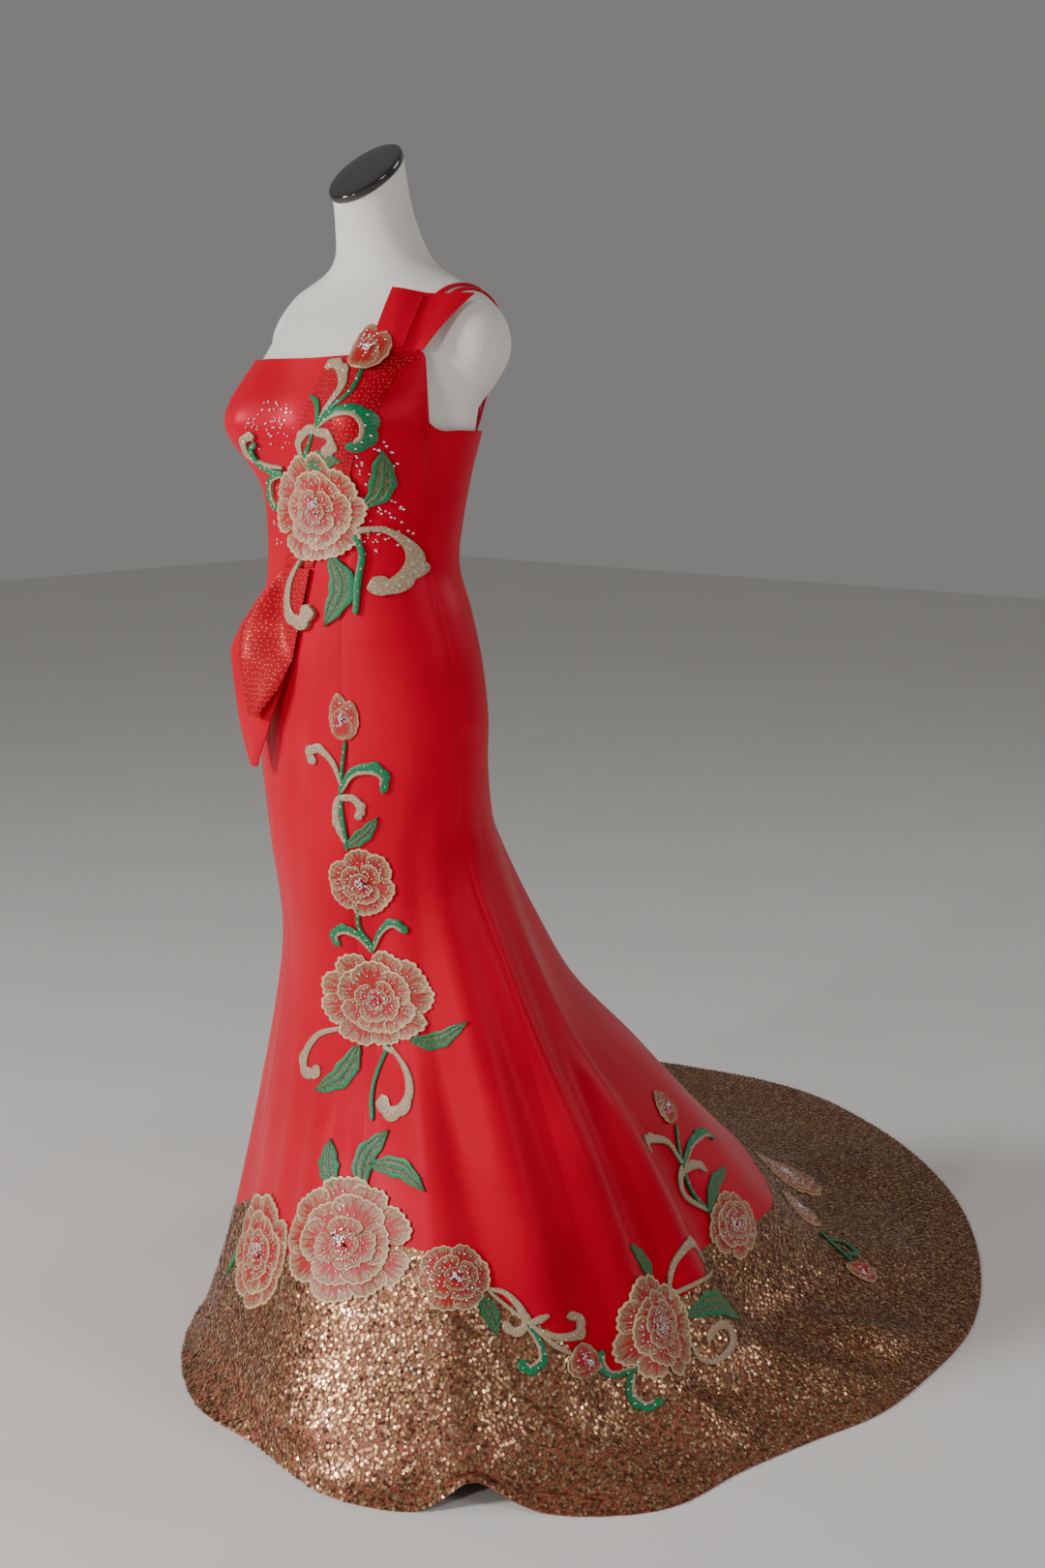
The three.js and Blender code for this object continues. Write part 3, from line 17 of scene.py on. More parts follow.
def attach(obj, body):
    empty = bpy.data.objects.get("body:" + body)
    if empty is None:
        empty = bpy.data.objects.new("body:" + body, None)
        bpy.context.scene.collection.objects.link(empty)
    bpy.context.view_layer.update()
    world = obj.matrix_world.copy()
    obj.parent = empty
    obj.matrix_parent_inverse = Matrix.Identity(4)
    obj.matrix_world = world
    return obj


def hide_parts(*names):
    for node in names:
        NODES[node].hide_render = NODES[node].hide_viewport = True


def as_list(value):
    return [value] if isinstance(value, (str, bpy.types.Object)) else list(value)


bl_info = {
    "name": "Mermaid Wedding Gown",
    "version": (1, 0, 0),
    "blender": (4, 5, 0),
    "location": "3D View > Sidebar > Gown",
    "description": "Builds a sequinned mermaid wedding gown on a dress form",
    "category": "Add Mesh",
}

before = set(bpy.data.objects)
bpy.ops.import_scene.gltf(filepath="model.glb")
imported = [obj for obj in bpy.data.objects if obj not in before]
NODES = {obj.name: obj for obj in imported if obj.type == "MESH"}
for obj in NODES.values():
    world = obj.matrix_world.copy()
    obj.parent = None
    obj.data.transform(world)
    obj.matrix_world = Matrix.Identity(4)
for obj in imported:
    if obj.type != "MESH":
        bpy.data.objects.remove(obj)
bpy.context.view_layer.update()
SEED = 7
HEXAGON = np.radians(np.arange(6) * 60)

# The gown's sizes
CLOTH = 2.0  # thickness
WALL = CLOTH - 0.2  # thickness of the visual cloth
SEAM = 0.15  # gap between two sewn pieces
BODY = np.array([  # height, half width, front, back, centre
    (1290, 142, 94, 74, 12), (1252, 142, 98, 80, 14), (1212, 141, 106, 88, 17), (1160, 138, 116, 92, 17),
    (1108, 129, 110, 90, 8), (1052, 123, 108, 92, -4), (996, 120, 106, 92, -10), (940, 134, 112, 100, -5),
    (884, 145, 117, 108, -2), (818, 151, 120, 113, 0), (752, 149, 117, 114, 1),
], float)
DIRECTIONS = [-90, -45, 0, 50, 95, 140, 180, 225]
SKIRT = [  # height in front and behind, reach in the eight directions
    (660, 660, [116, 121, 150, 148, 180, 146, 142, 122]),
    (545, 545, [107, 118, 193, 188, 254, 179, 141, 108]),
    (442, 442, [115, 136, 237, 240, 329, 226, 155, 120]),
    (338, 338, [133, 174, 282, 329, 442, 291, 179, 139]),
    (235, 235, [158, 230, 321, 404, 555, 376, 211, 158]),
    (141, 135, [188, 287, 355, 470, 677, 489, 242, 183]),
    (56, 50, [227, 343, 400, 545, 799, 620, 274, 218]),
]
NEAR_HEM = (18, 9)  # height in front and behind of the level above the hem, halfway out to it
HEM = [  # angle, reach
    (-143, 253), (-120, 250), (-102, 260), (-78, 275), (-66, 312), (-55, 363), (-42, 400), (-30, 410),
    (-17, 480), (-8, 515), (5, 525), (16, 565), (25, 625), (35, 683), (45, 755), (57, 838), (66, 910),
    (77, 1010), (88, 1115), (98, 1205), (107, 1235), (116, 1235), (126, 1110), (136, 900), (146, 660),
    (156, 470), (166, 370), (178, 315), (196, 275),
]
LAST = 19  # the hem's level
CUP = {  # a cup's middle, its widths, how far it goes out and aside, and how far back it fades
    "x": 76, "z": 1162, "wide": 54, "below": 60, "above": 74, "out": 54, "aside": 0.42, "fade": 42,
}
FLUTES = [  # angle, width, out, from which level
    (-72, 12, 5, 11), (-46, 8, -4, 12), (-29, 6, 7, 11.5), (-20, 5, -8, 12), (-10, 5.5, 10, 11.5),
    (-2, 4.5, -7, 12), (7, 5, 10, 11), (16, 5, -10, 11.5), (24, 6, 13, 11.5), (36, 6.5, -18, 11.5),
    (57, 9, 22, 12), (77, 8, -14, 12), (96, 9, 12, 12), (116, 9, -14, 11.5), (136, 9, 14, 12),
    (156, 9, -13, 11.5), (175, 8, 10, 11.5), (191, 7, -8, 12), (206, 7, 8, 11.5), (222, 8, -7, 12),
    (246, 11, -4, 12),
]
FLUTE_RISE = 4.5  # levels over which a flute grows
FLUTE_FADE = (17, 2)  # the level from which flutes fade, and over how many levels
FLOOR_FOLDS = [  # angle, width, level, spread, height
    (-31, 5, 19, 1.1, 30), (8, 5, 17.6, 0.7, 16), (30, 5, 17.7, 0.8, 18), (40, 4.5, 17.9, 0.7, 24),
    (62, 6, 17.8, 0.6, 12), (84, 5, 18.2, 0.6, 16), (112, 6, 17.9, 0.7, 18), (138, 6, 17.7, 0.7, 18),
    (158, 6, 17.8, 0.7, 14),
]
SOFT_FOLDS = [  # angle, width, level, spread, depth, slant
    (-92, 5, 9.3, 1.5, -3.5, -3), (-84, 4, 9.0, 1.2, 2.0, -3), (-70, 4, 5.2, 1.0, -0.8, -3),
    (-30, 6, 6.3, 0.5, 0.8, -3), (150, 7, 6.0, 0.7, 1.0, -3), (35, 7, 6.2, 0.7, 1.0, -3),
    (-38, 14, 7.55, 0.16, -1.3, 0), (-22, 13, 10.7, 0.17, -1.7, 0), (-18, 12, 11.35, 0.15, -1.3, 0),
    (-8, 12, 5.1, 0.15, -1.0, 0), (-4, 13, 4.4, 0.14, -0.8, 0), (2, 14, 9.3, 0.2, -1.2, 0),
    (-46, 5, 13.4, 1.7, -2.4, 0), (-33, 3.6, 13.2, 1.9, 3.0, 0.6), (-23, 3.2, 13.2, 1.9, -4.2, 0.8),
    (-13, 3.2, 13.0, 1.9, 3.6, 0.9), (-4, 3, 13.2, 1.9, -3.8, 0.8), (5, 3.2, 13.4, 1.8, 3.4, 0.6),
    (14, 3.4, 13.4, 1.8, -3.8, 0.5), (24, 4, 13.4, 1.8, 3.4, 0.4), (-66, 5, 13.8, 1.6, 2.0, 0),
    (-84, 4, 14.2, 1.4, -1.6, 0), (-98, 4, 14.2, 1.4, 1.6, 0),
]
SEAM_LEVELS = [1.5, 3, 5.5, 7, 8.5, 10, 12, 13, 15, 17, 19]
PRINCESS = [-61, -61, -58, -65, -67, -64.5, -56.5, -53, -50, -47, -45]
SIDE = [-27, -22, -12, -9, -7, -3, 2, 1, 0, -3, -8]
BACK_PRINCESS = [30, 28, 24, 22, 22, 24, 30, 34, 40, 44, 47]
CENTRE_BACK = [90, 90, 90, 90, 90, 90, 91, 92, 94, 96, 98]
SEAMS = [  # turn, side and angles, round the gown from the right of the front; the right mirrors the left
    (-180, -1, PRINCESS), (0, 1, PRINCESS), (0, 1, SIDE), (0, 1, BACK_PRINCESS), (0, 1, CENTRE_BACK),
    (180, -1, BACK_PRINCESS), (180, -1, SIDE), (180, -1, PRINCESS), (360, 1, SIDE),
]
TOP_EDGE = [  # angle, level
    (-150, 1.75), (-119, 1.58), (-90, 1.52), (-61, 1.45), (-36, 1.38), (-29, 1.42), (-25, 2.3), (-22, 3.0),
    (-5, 3.15), (90, 3.2), (185, 3.15), (197, 2.6),
]
SEQUIN_EDGE = [  # angle, level
    (-80, 15.4), (-43, 15.0), (-33, 15.0), (-22, 15.35), (-12, 15.85), (-4, 16.45), (0, 16.55), (6, 16.4),
    (18, 16.05), (32, 15.85), (45, 15.9), (58, 16.05), (95, 16.2), (140, 16.1), (165, 15.9), (184, 16.3),
    (200, 15.8), (225, 15.3), (255, 15.4),
]
PANELS = [  # each lies between the seam of its own number and the next
    "front_centre_panel", "front_left_panel", "back_side_left_panel", "back_left_panel",
    "back_right_panel", "back_side_right_panel", "front_right_panel",
]


def smooth(x):
    """The smooth step 3x^2 - 2x^3 between 0 and 1."""
    x = np.clip(x, 0, 1)
    return x * x * (3 - 2 * x)


def bell(x):
    """A soft bump: 1 at 0, nearly 0 beyond 2."""
    return np.exp(-x * x)


def cubic(a, b, c, d, s):
    """The Catmull-Rom cubic from b to c, with slopes (c - a) / 2 and (d - b) / 2 at its ends."""
    return 0.5 * (2 * b + (c - a) * s + (2 * a - 5 * b + 4 * c - d) * s**2 + (3 * b - a - 3 * c + d) * s**3)


def circle(angle):
    """The cosine and sine of an angle in degrees."""
    return np.cos(np.radians(angle)), np.sin(np.radians(angle))


def turned(angle, middle):
    """How far an angle lies from another, from -180 to 180 degrees."""
    return np.mod(angle - middle + 540, 360) - 180


def around(rows, angle):
    """A smooth closed curve through (angle, value) rows: cubics whose slopes come from their neighbours."""
    stops = np.mod([row[0] for row in rows], 360)
    order = np.argsort(stops)
    a, v = stops[order], np.array([row[1] for row in rows], float)[order]
    a = np.concatenate([a[-2:] - 360, a, a[:3] + 360])
    v = np.concatenate([v[-2:], v, v[:3]])
    slope = np.zeros(len(a))
    slope[1:-1] = (v[2:] - v[:-2]) / (a[2:] - a[:-2])
    t = np.mod(angle, 360)
    i = np.clip(np.searchsorted(a, t, side="right") - 1, 1, len(a) - 3)
    h = a[i + 1] - a[i]
    s = (t - a[i]) / h
    start = (2 * s**3 - 3 * s**2 + 1) * v[i] + (s**3 - 2 * s**2 + s) * h * slope[i]
    return start + (3 * s**2 - 2 * s**3) * v[i + 1] + (s**3 - s**2) * h * slope[i + 1]


def level_rows(angle):
    """The points of all twenty levels at each angle: ellipses down the body, reaches down the skirt."""
    c, s = circle(angle)
    rows = []
    for z, half, front, back, centre in BODY:
        rows.append(np.stack([half * c, centre + np.where(s < 0, front, back) * s, np.full_like(c, z)], -1))
    behind = np.clip(s, 0, None) ** 1.5

    def ring(r, front, back):
        rows.append(np.stack([r * c, r * s, front + (back - front) * behind], -1))

    for front, back, reach in SKIRT:
        last = around(list(zip(DIRECTIONS, reach)), angle)
        ring(last, front, back)
    hem = around(HEM, angle)
    ring(0.5 * (last + hem), *NEAR_HEM)
    ring(hem, 0, 0)
    return np.stack(rows)


def add_cups(points, share):
    """Two bust cups: a bell round each point of the bust, pushed out and aside, and gone at the sides."""
    x, z = points[..., 0], points[..., 2]
    in_front = smooth(-points[..., 1] / CUP["fade"])[..., None]
    down = z - CUP["z"]
    tall = np.where(down < 0, CUP["below"], CUP["above"])
    for side in (-1, 1):
        out = CUP["out"] * share * bell(np.hypot((x - side * CUP["x"]) / CUP["wide"], down / tall))
        points = points + out[..., None] * in_front * np.array([side * CUP["aside"], -1, 0])
    return points


def gown(angle, level):
    """The inner side of the cloth: a cubic down the levels, with cups, flutes and folds on the floor."""
    angle, level = np.broadcast_arrays(np.asarray(angle, float), np.asarray(level, float))
    shape = angle.shape
    angle, v = angle.ravel(), np.clip(level.ravel(), 0, LAST - 1e-6)
    rows = level_rows(angle)
    i = np.floor(v).astype(int)
    s = (v - i)[:, None]
    own = np.arange(len(v))
    p1, p2 = rows[i, own], rows[i + 1, own]
    p0 = np.where((i > 0)[:, None], rows[np.maximum(i - 1, 0), own], 2 * p1 - p2)
    p3 = np.where((i + 2 <= LAST)[:, None], rows[np.minimum(i + 2, LAST), own], 2 * p2 - p1)
    point = add_cups(cubic(p0, p1, p2, p3, s), 1)
    out = sum(o * smooth((v - start) / FLUTE_RISE) * bell(turned(angle, a) / w) for a, w, o, start in FLUTES)
    out = out * (1 - smooth((v - FLUTE_FADE[0]) / FLUTE_FADE[1]))
    point[:, :2] += np.stack(circle(angle), -1) * out[:, None]
    for a, w, at, spread, height in FLOOR_FOLDS:
        near_hem = 1 if at == LAST else smooth((LAST - v) / 0.8)
        point[:, 2] += height * bell(turned(angle, a) / w) * bell((v - at) / spread) * near_hem
    point[:, 2] = np.maximum(point[:, 2], 0)
    return point.reshape(shape + (3,))


def unit(vectors):
    """Vectors of length 1."""
    return vectors / np.maximum(np.linalg.norm(vectors, axis=-1, keepdims=True), 1e-9)


TURN, DROP = 0.2, 0.02  # small steps of angle and level, for slopes


def cloth_frame(angle, level):
    """The cloth's directions across and up and its outward normal, from small steps each way."""
    level = np.minimum(level, LAST - DROP)
    across = unit(gown(angle + 2 * TURN, level) - gown(angle - 2 * TURN, level))
    up = unit(gown(angle, level - DROP) - gown(angle, level + DROP))
    normal = unit(np.cross(across, up))
    return across, np.cross(normal, across), normal


def seam_angle(index, level):
    """The angle of a seam at a level."""
    turn, side, angles = SEAMS[index]
    return turn + side * np.interp(level, SEAM_LEVELS, angles)


def wrinkles(angle, level):
    """Small soft creases, in millimetres out: a few waves across the hips and more towards the floor."""
    low = smooth((level - 12) / 5) * (1 - smooth((level - 18) / 1))
    wave = np.sin(np.radians(angle * 9 + 40 * np.sin(level)))
    out = 1.1 * low * (wave + 0.6 * np.sin(np.radians(angle * 17 - level * 30)))
    for a, w, at, spread, depth, slant in SOFT_FOLDS:
        aside = turned(angle, a) - (level - at) * slant
        out = out + depth * bell(aside / w) * bell((level - at) / spread)
    return out


def cloth_points(angle, level, lift=0.0):
    """Points above the outer face of the cloth, and the normals there."""
    normal = cloth_frame(angle, level)[2]
    out = (CLOTH + lift + wrinkles(angle, level))[..., None]
    points = gown(angle, level) + normal * out
    points[..., 2] = np.maximum(points[..., 2], 0)
    return points, normal


# Meshes
class Piece:
    """Gathers the parts of one piece as whole arrays and makes its mesh."""

    def __init__(self, name):
        self.name = name
        self.points, self.faces, self.maps, self.slots, self.count = [], [], [], [], 0

    def add(self, points, faces, uv, slot=0):
        """Adds a closed part, its faces turned outwards by the sign of its volume."""
        points = points.reshape(-1, 3)
        a, b, c = (points[faces[:, k]] for k in range(3))
        volume = np.einsum("ij,ij->", a, np.cross(b, c))
        if faces.shape[1] == 4:
            volume += np.einsum("ij,ij->", a, np.cross(c, points[faces[:, 3]]))
        faces = faces[:, ::-1] if volume < 0 else faces
        self.points.append(points)
        self.faces.append(faces + self.count)
        self.maps.append(uv.reshape(-1, 2)[faces].reshape(-1, 2))
        self.slots.append(np.full(len(faces), slot))
        self.count += len(points)

    def plate(self, top, bottom, uv, slot=0):
        """A closed wall between two grids of points, with a rim round its four edges."""
        rows, columns = top.shape[:2]
        index = np.arange(rows * columns).reshape(rows, columns)
        quads = [index[:-1, :-1], index[1:, :-1], index[1:, 1:], index[:-1, 1:]]
        quads = np.stack(quads, -1).reshape(-1, 4)
        rim = np.concatenate([index[0, :-1], index[:-1, -1], index[-1, :0:-1], index[:0:-1, 0]])
        after = np.roll(rim, -1)
        n = rows * columns
        side = np.stack([rim, after, after + n, rim + n], -1)
        faces = np.concatenate([quads, quads[:, ::-1] + n, side])
        points = np.concatenate([top.reshape(-1, 3), bottom.reshape(-1, 3)])
        self.add(points, faces, np.concatenate([uv.reshape(-1, 2)] * 2), slot)

    def tube(self, rings, uv, slot=0):
        """A closed skin through rings of points, with a fan over its first and last ring."""
        rows, columns = rings.shape[:2]
        index = np.arange(rows * columns).reshape(rows, columns)
        ahead = np.roll(index, -1, axis=1)
        quads = np.stack([index[:-1], index[1:], ahead[1:], ahead[:-1]], -1).reshape(-1, 4)
        n = rows * columns
        low = np.stack([np.full(columns, n), index[0], ahead[0], ahead[0]], -1)
        high = np.stack([np.full(columns, n + 1), ahead[-1], index[-1], index[-1]], -1)
        points = np.concatenate([rings.reshape(-1, 3), rings[0].mean(0)[None], rings[-1].mean(0)[None]])
        uv = np.concatenate([uv.reshape(-1, 2), uv[0].mean(0)[None], uv[-1].mean(0)[None]])
        self.add(points, np.concatenate([quads, low, high]), uv, slot)

    def make(self, materials, nodes=(), slot=None, sharp=40, uv_name="cloth"):
        """Makes the object: fans' repeated corners become triangles, and edges over an angle stay sharp."""
        points = np.concatenate(self.points) * 0.001
        loops, totals, maps = [], [], []
        for faces, uv in zip(self.faces, self.maps):
            keep = np.ones(faces.shape, bool)
            if faces.shape[1] == 4:
                keep[faces[:, 2] == faces[:, 3], 3] = False
                keep[faces[:, 0] == faces[:, 1], 0] = False
            loops.append(faces[keep])
            maps.append(uv.reshape(faces.shape + (2,))[keep])
            totals.append(keep.sum(1))
        loops, totals, maps = np.concatenate(loops), np.concatenate(totals), np.concatenate(maps)
        mesh = bpy.data.meshes.new(self.name)
        mesh.vertices.add(len(points))
        mesh.vertices.foreach_set("co", points.ravel())
        mesh.loops.add(len(loops))
        mesh.loops.foreach_set("vertex_index", loops.astype(np.int32))
        mesh.polygons.add(len(totals))
        mesh.polygons.foreach_set("loop_start", (np.cumsum(totals) - totals).astype(np.int32))
        mesh.polygons.foreach_set("material_index", np.concatenate(self.slots).astype(np.int32))
        mesh.polygons.foreach_set("use_smooth", np.ones(len(totals), bool))
        layer = mesh.uv_layers.new(name=uv_name)
        layer.data.foreach_set("uv", maps.ravel().astype(np.float32))
        mesh.update(calc_edges=True)
        mesh.validate()
        if sharp:
            mesh.set_sharp_from_angle(angle=math.radians(sharp))
        for material in materials:
            mesh.materials.append(material)
        made = bpy.data.objects.new(self.name, mesh)
        bpy.context.scene.collection.objects.link(made)
        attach(made, "root")
        if nodes:
            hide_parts(*nodes)
        return made


LEAST_FILL = 0.32  # share of its rectangle that a cut fills at least
ROUND_UP = 0.0006


def measured(points):
    """(width, length, area) in metres of a grid of points: its longest row, longest column and its area."""
    across = np.linalg.norm(np.diff(points, axis=1), axis=-1).sum(1).max() / 1000
    along = np.linalg.norm(np.diff(points, axis=0), axis=-1).sum(0).max() / 1000
    u, v = points[:-1, 1:] - points[:-1, :-1], points[1:, :-1] - points[:-1, :-1]
    area = np.linalg.norm(np.cross(u, v), axis=-1).sum() / 1e6
    return across, along, area


def sheet(name, node, outer, inner, look, slot, rests_on):
    """Makes a sheet of cloth between two grids of points, its map in metres, and works out the size of its
    cut.

    A tapered sheet's flat width is less than its longest row, so that its area fills enough of the rectangle.
    """
    across, along, area = measured(outer)
    rows, columns = outer.shape[:2]
    u, v = np.meshgrid(np.linspace(0, across, columns), np.linspace(0, along, rows))
    piece = Piece(name)
    piece.plate(outer, inner, np.stack([u, v], -1))
    made = piece.make([material(look)], [node], slot)
    across = max(min(across, area / (LEAST_FILL * along)), area / along)
    flat = (round(across + ROUND_UP, 3), round(along + ROUND_UP, 3))
    round(min(area, flat[0] * flat[1]), 4)
    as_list(rests_on)


# Materials
class Wire:
    """A shader socket in an expression: the operators add its Math nodes."""

    def __init__(self, shader, socket):
        self.shader, self.socket = shader, socket

    def math(self, operation, *others):
        inputs = dict(enumerate((self, *others)))
        return self.shader.node("ShaderNodeMath", {"operation": operation}, inputs)

    def __add__(self, other):
        return self.math("ADD", other)

    def __mul__(self, other):
        return self.math("MULTIPLY", other)

    def __sub__(self, other):
        return self.math("SUBTRACT", other)

    def __rsub__(self, other):
        return self.shader.node("ShaderNodeMath", {"operation": "SUBTRACT"}, {0: other, 1: self})

    __radd__, __rmul__ = __add__, __mul__


class Shader:
    """A material whose nodes are added by one method, around one Principled shader."""

    def __init__(self, name, **uniform):
        self.material = bpy.data.materials.new(name)
        self.material.use_nodes = True
        self.tree = self.material.node_tree
        self.surface = self.tree.nodes["Principled BSDF"]
        for key, value in uniform.items():
            self.surface.inputs[key.replace("_", " ")].default_value = value

    def node(self, kind, settings=None, inputs=None, output=0):
        made = self.tree.nodes.new(kind)
        for key, value in (settings or {}).items():
            if key == "stops":
                ramp = made.color_ramp
                while len(ramp.elements) < len(value):
                    ramp.elements.new(0.5)
                for element, (at, colour) in zip(ramp.elements, value):
                    element.position, element.color = at, (*colour, 1)
            else:
                setattr(made, key, value)
        for key, value in (inputs or {}).items():
            socket = made.inputs[key]
            if isinstance(value, Wire):
                self.tree.links.new(value.socket, socket)
            else:
                socket.default_value = value
        return Wire(self, made.outputs[output])

    def feed(self, **wires):
        for key, wire in wires.items():
            self.tree.links.new(wire.socket, self.surface.inputs[key.replace("_", " ")])
        return self.material

    def place(self):
        return self.node("ShaderNodeTexCoord", output="Object")

    def map(self, name="cloth"):
        """The piece's own map as two wires, across and along."""
        uv = self.node("ShaderNodeUVMap", {"uv_map": name})
        parts = self.node("ShaderNodeSeparateXYZ", inputs={0: uv})
        return parts, Wire(self, parts.socket.node.outputs[1])

    def vector(self, x, y, z=0.0):
        return self.node("ShaderNodeCombineXYZ", inputs={0: x, 1: y, 2: z})

    def noise(self, vector, scale, detail=2.0, rough=0.5):
        inputs = {"Vector": vector, "Scale": scale, "Detail": detail, "Roughness": rough}
        return self.node("ShaderNodeTexNoise", inputs=inputs)

    def ramp(self, value, *stops):
        return self.node("ShaderNodeValToRGB", {"stops": stops}, {0: value})

    def mix(self, share, first, second):
        first, second = (c if isinstance(c, Wire) else (*c, 1) for c in (first, second))
        inputs = {0: share, 6: first, 7: second}
        return self.node("ShaderNodeMix", {"data_type": "RGBA"}, inputs, 2)

    def fade(self, value, low, high):
        """0 below low, 1 above high, smooth between."""
        inputs = {"Value": value, "From Min": low, "From Max": high}
        return self.node("ShaderNodeMapRange", {"interpolation_type": "SMOOTHSTEP"}, inputs)

    def bump(self, height, strength, distance):
        inputs = {"Height": height, "Strength": strength, "Distance": distance}
        return self.node("ShaderNodeBump", inputs=inputs)


def shade(colour, share):
    """A colour made darker or lighter, with 1 as the most."""
    return tuple(np.minimum(np.array(colour) * share, 1))


def satin(name, colour):
    """Duchess satin: an even colour with slow cloudy changes, a fine ribbed weave and a soft gleam."""
    m = Shader(name, Specular_IOR_Level=0.5, Specular_Tint=(1.0, 0.07, 0.13, 1), Anisotropic=0.3)
    place = m.place()
    cloud = m.noise(place, 7.0, 3.0)
    weave = m.noise(place, 1800.0)
    slub = m.noise(place, 240.0)
    tone = m.ramp(cloud, (0.3, shade(colour, 0.86)), (0.7, shade(colour, 1.06)))
    rough = 0.3 + cloud * 0.1 + weave * 0.06
    return m.feed(Base_Color=tone, Roughness=rough, Normal=m.bump(weave * 0.6 + slub * 0.4, 0.1, 0.0003))


def dotted_satin(name, colour, dot):
    """Satin with tiny gold dots in a loose grid about 5 mm apart, read from the piece's own map."""
    m = Shader(name, Specular_IOR_Level=0.45, Specular_Tint=(1.0, 0.15, 0.12, 1))
    x, y = m.map()
    spot = m.node(
        "ShaderNodeTexVoronoi",
        {"voronoi_dimensions": "2D"},
        {"Vector": m.vector(x, y), "Scale": 165.0, "Randomness": 0.6},
    )
    dots = m.fade(spot, 0.125, 0.085)
    weave = m.noise(m.place(), 1500.0)
    tone = m.mix(m.noise(m.place(), 30.0), shade(colour, 0.85), colour)
    return m.feed(
        Base_Color=m.mix(dots, tone, dot), Roughness=0.42 - dots * 0.12, Metallic=dots * 0.4,
        Normal=m.bump(dots + weave * 0.1, 0.25, 0.0003),
    )


def sequin_net(name, colour, dark):
    """The net under the sequins: a grainy brown-gold with red showing between."""
    m = Shader(name, Specular_IOR_Level=0.4)
    place = m.place()
    grain = m.noise(place, 420.0, 2.0, 0.7)
    patch = m.noise(place, 9.0)
    tone = m.mix(m.fade(grain, 0.42, 0.62), dark, colour)
    rough = 0.55 - patch * 0.2
    return m.feed(Base_Color=tone, Roughness=rough, Metallic=grain * 0.5, Normal=m.bump(grain, 0.6, 0.001))


def sequin(name, colours):
    """Sequins: each reads one point of its map, and its metal tone comes from that point."""
    m = Shader(name, Metallic=0.88, Specular_IOR_Level=0.6)
    x, y = m.map("OFBake")
    tone = m.ramp(x, *zip((0.0, 0.3, 0.55, 0.8, 1.0), colours))
    return m.feed(Base_Color=tone, Roughness=0.2 + y * 0.22)


def stitched(name, colour, deep, painted_glint_and_metal=0.0, pitch=900.0):
    """Satin stitch: threads across the strip as fine ridges, with painted shade between them and along the
    strip's edges, and metallic spots with painted near-white glints.
    """
    m = Shader(name, Sheen_Weight=0.3, Sheen_Roughness=0.3)
    across, along = m.map()
    thread = m.noise(m.vector(along * pitch, across * 3.0), 1.0, 2.0, 0.6)
    grain = m.noise(m.place(), 700.0, 2.0, 0.7)
    edge = m.fade(across.math("ABSOLUTE"), 0.75, 1.0)
    # painted shade: the grooves between the threads are darker
    tone = m.mix(m.fade(thread, 0.35, 0.65), deep, colour)
    # painted highlight: near-white glints on the grain's high spots, where the thread is also metallic
    tone = m.mix(m.fade(grain, 0.55, 0.75) * painted_glint_and_metal, tone, (1.0, 0.93, 0.85))
    # painted shade along both edges of the strip
    tone = m.mix(edge * 0.35, tone, deep)
    return m.feed(
        Base_Color=tone, Roughness=0.52 - grain * 0.25, Metallic=m.fade(grain, 0.5, 0.8) * (painted_glint_and_metal * 0.6),
        Normal=m.bump(thread * 0.7 + grain * 0.3, 0.6, 0.0008),
    )


def petal_cloth(name, red, champagne, brown):
    """A petal: a champagne cord round its edge, and rays of stitch that run from it inwards over red."""
    m = Shader(name, Specular_IOR_Level=0.4)
    turn, out = m.map()
    ray = m.noise(m.vector(turn * 9.0, out * 0.8), 1.0, 1.0, 0.5)
    thread = m.noise(m.vector(turn * 30.0, out * 2.0 + 7.0), 1.0, 2.0, 0.6)
    grain = m.noise(m.place(), 700.0, 2.0, 0.7)
    reach = m.fade(out + (ray - 0.5) * 0.9 + (thread - 0.5) * 0.6, 0.6, 0.95)
    stitch = m.mix(m.fade(grain, 0.44, 0.62), brown, champagne)
    inner = m.mix(m.fade(thread, 0.35, 0.6), shade(red, 0.45), red)
    border = m.fade(out, 0.925, 0.95)
    tone = m.mix(border, m.mix(reach, inner, stitch), shade(champagne, 1.3))
    relief = thread * 0.5 + border * 0.8 + grain * 0.3
    return m.feed(
        Base_Color=tone, Roughness=0.55 - grain * 0.2, Metallic=m.fade(grain, 0.45, 0.8) * 0.35,
        Normal=m.bump(relief, 0.6, 0.0008),
    )


def leaf_cloth(name, green, deep, brown):
    """A leaf: green satin stitch round its edge and along its vein, brown-gold net between."""
    m = Shader(name, Sheen_Weight=0.2, Sheen_Roughness=0.4)
    across, along = m.map()
    side = across.math("ABSOLUTE")
    thread = m.noise(m.vector(along * 620.0, across * 4.0), 1.0, 2.0, 0.6)
    wave = m.noise(m.vector(along * 60.0, across * 1.5), 1.0)
    edge = m.fade(side + (wave - 0.5) * 0.25, 0.5, 0.6)
    vein = 1 - m.fade(side, 0.07, 0.15)
    stitch = edge.math("MAXIMUM", vein)
    net = m.noise(m.place(), 520.0, 1.0, 0.7)
    inside = m.mix(m.fade(net, 0.42, 0.6), shade(deep, 0.8), brown)
    # the green stitch's threads, with painted shade in the grooves between them
    tone = m.mix(stitch, inside, m.mix(m.fade(thread, 0.35, 0.65), deep, green))
    return m.feed(
        Base_Color=tone, Roughness=0.55 - net * 0.12,
        Normal=m.bump(stitch * 0.8 + thread * 0.3 + net * 0.2, 0.7, 0.0012),
    )


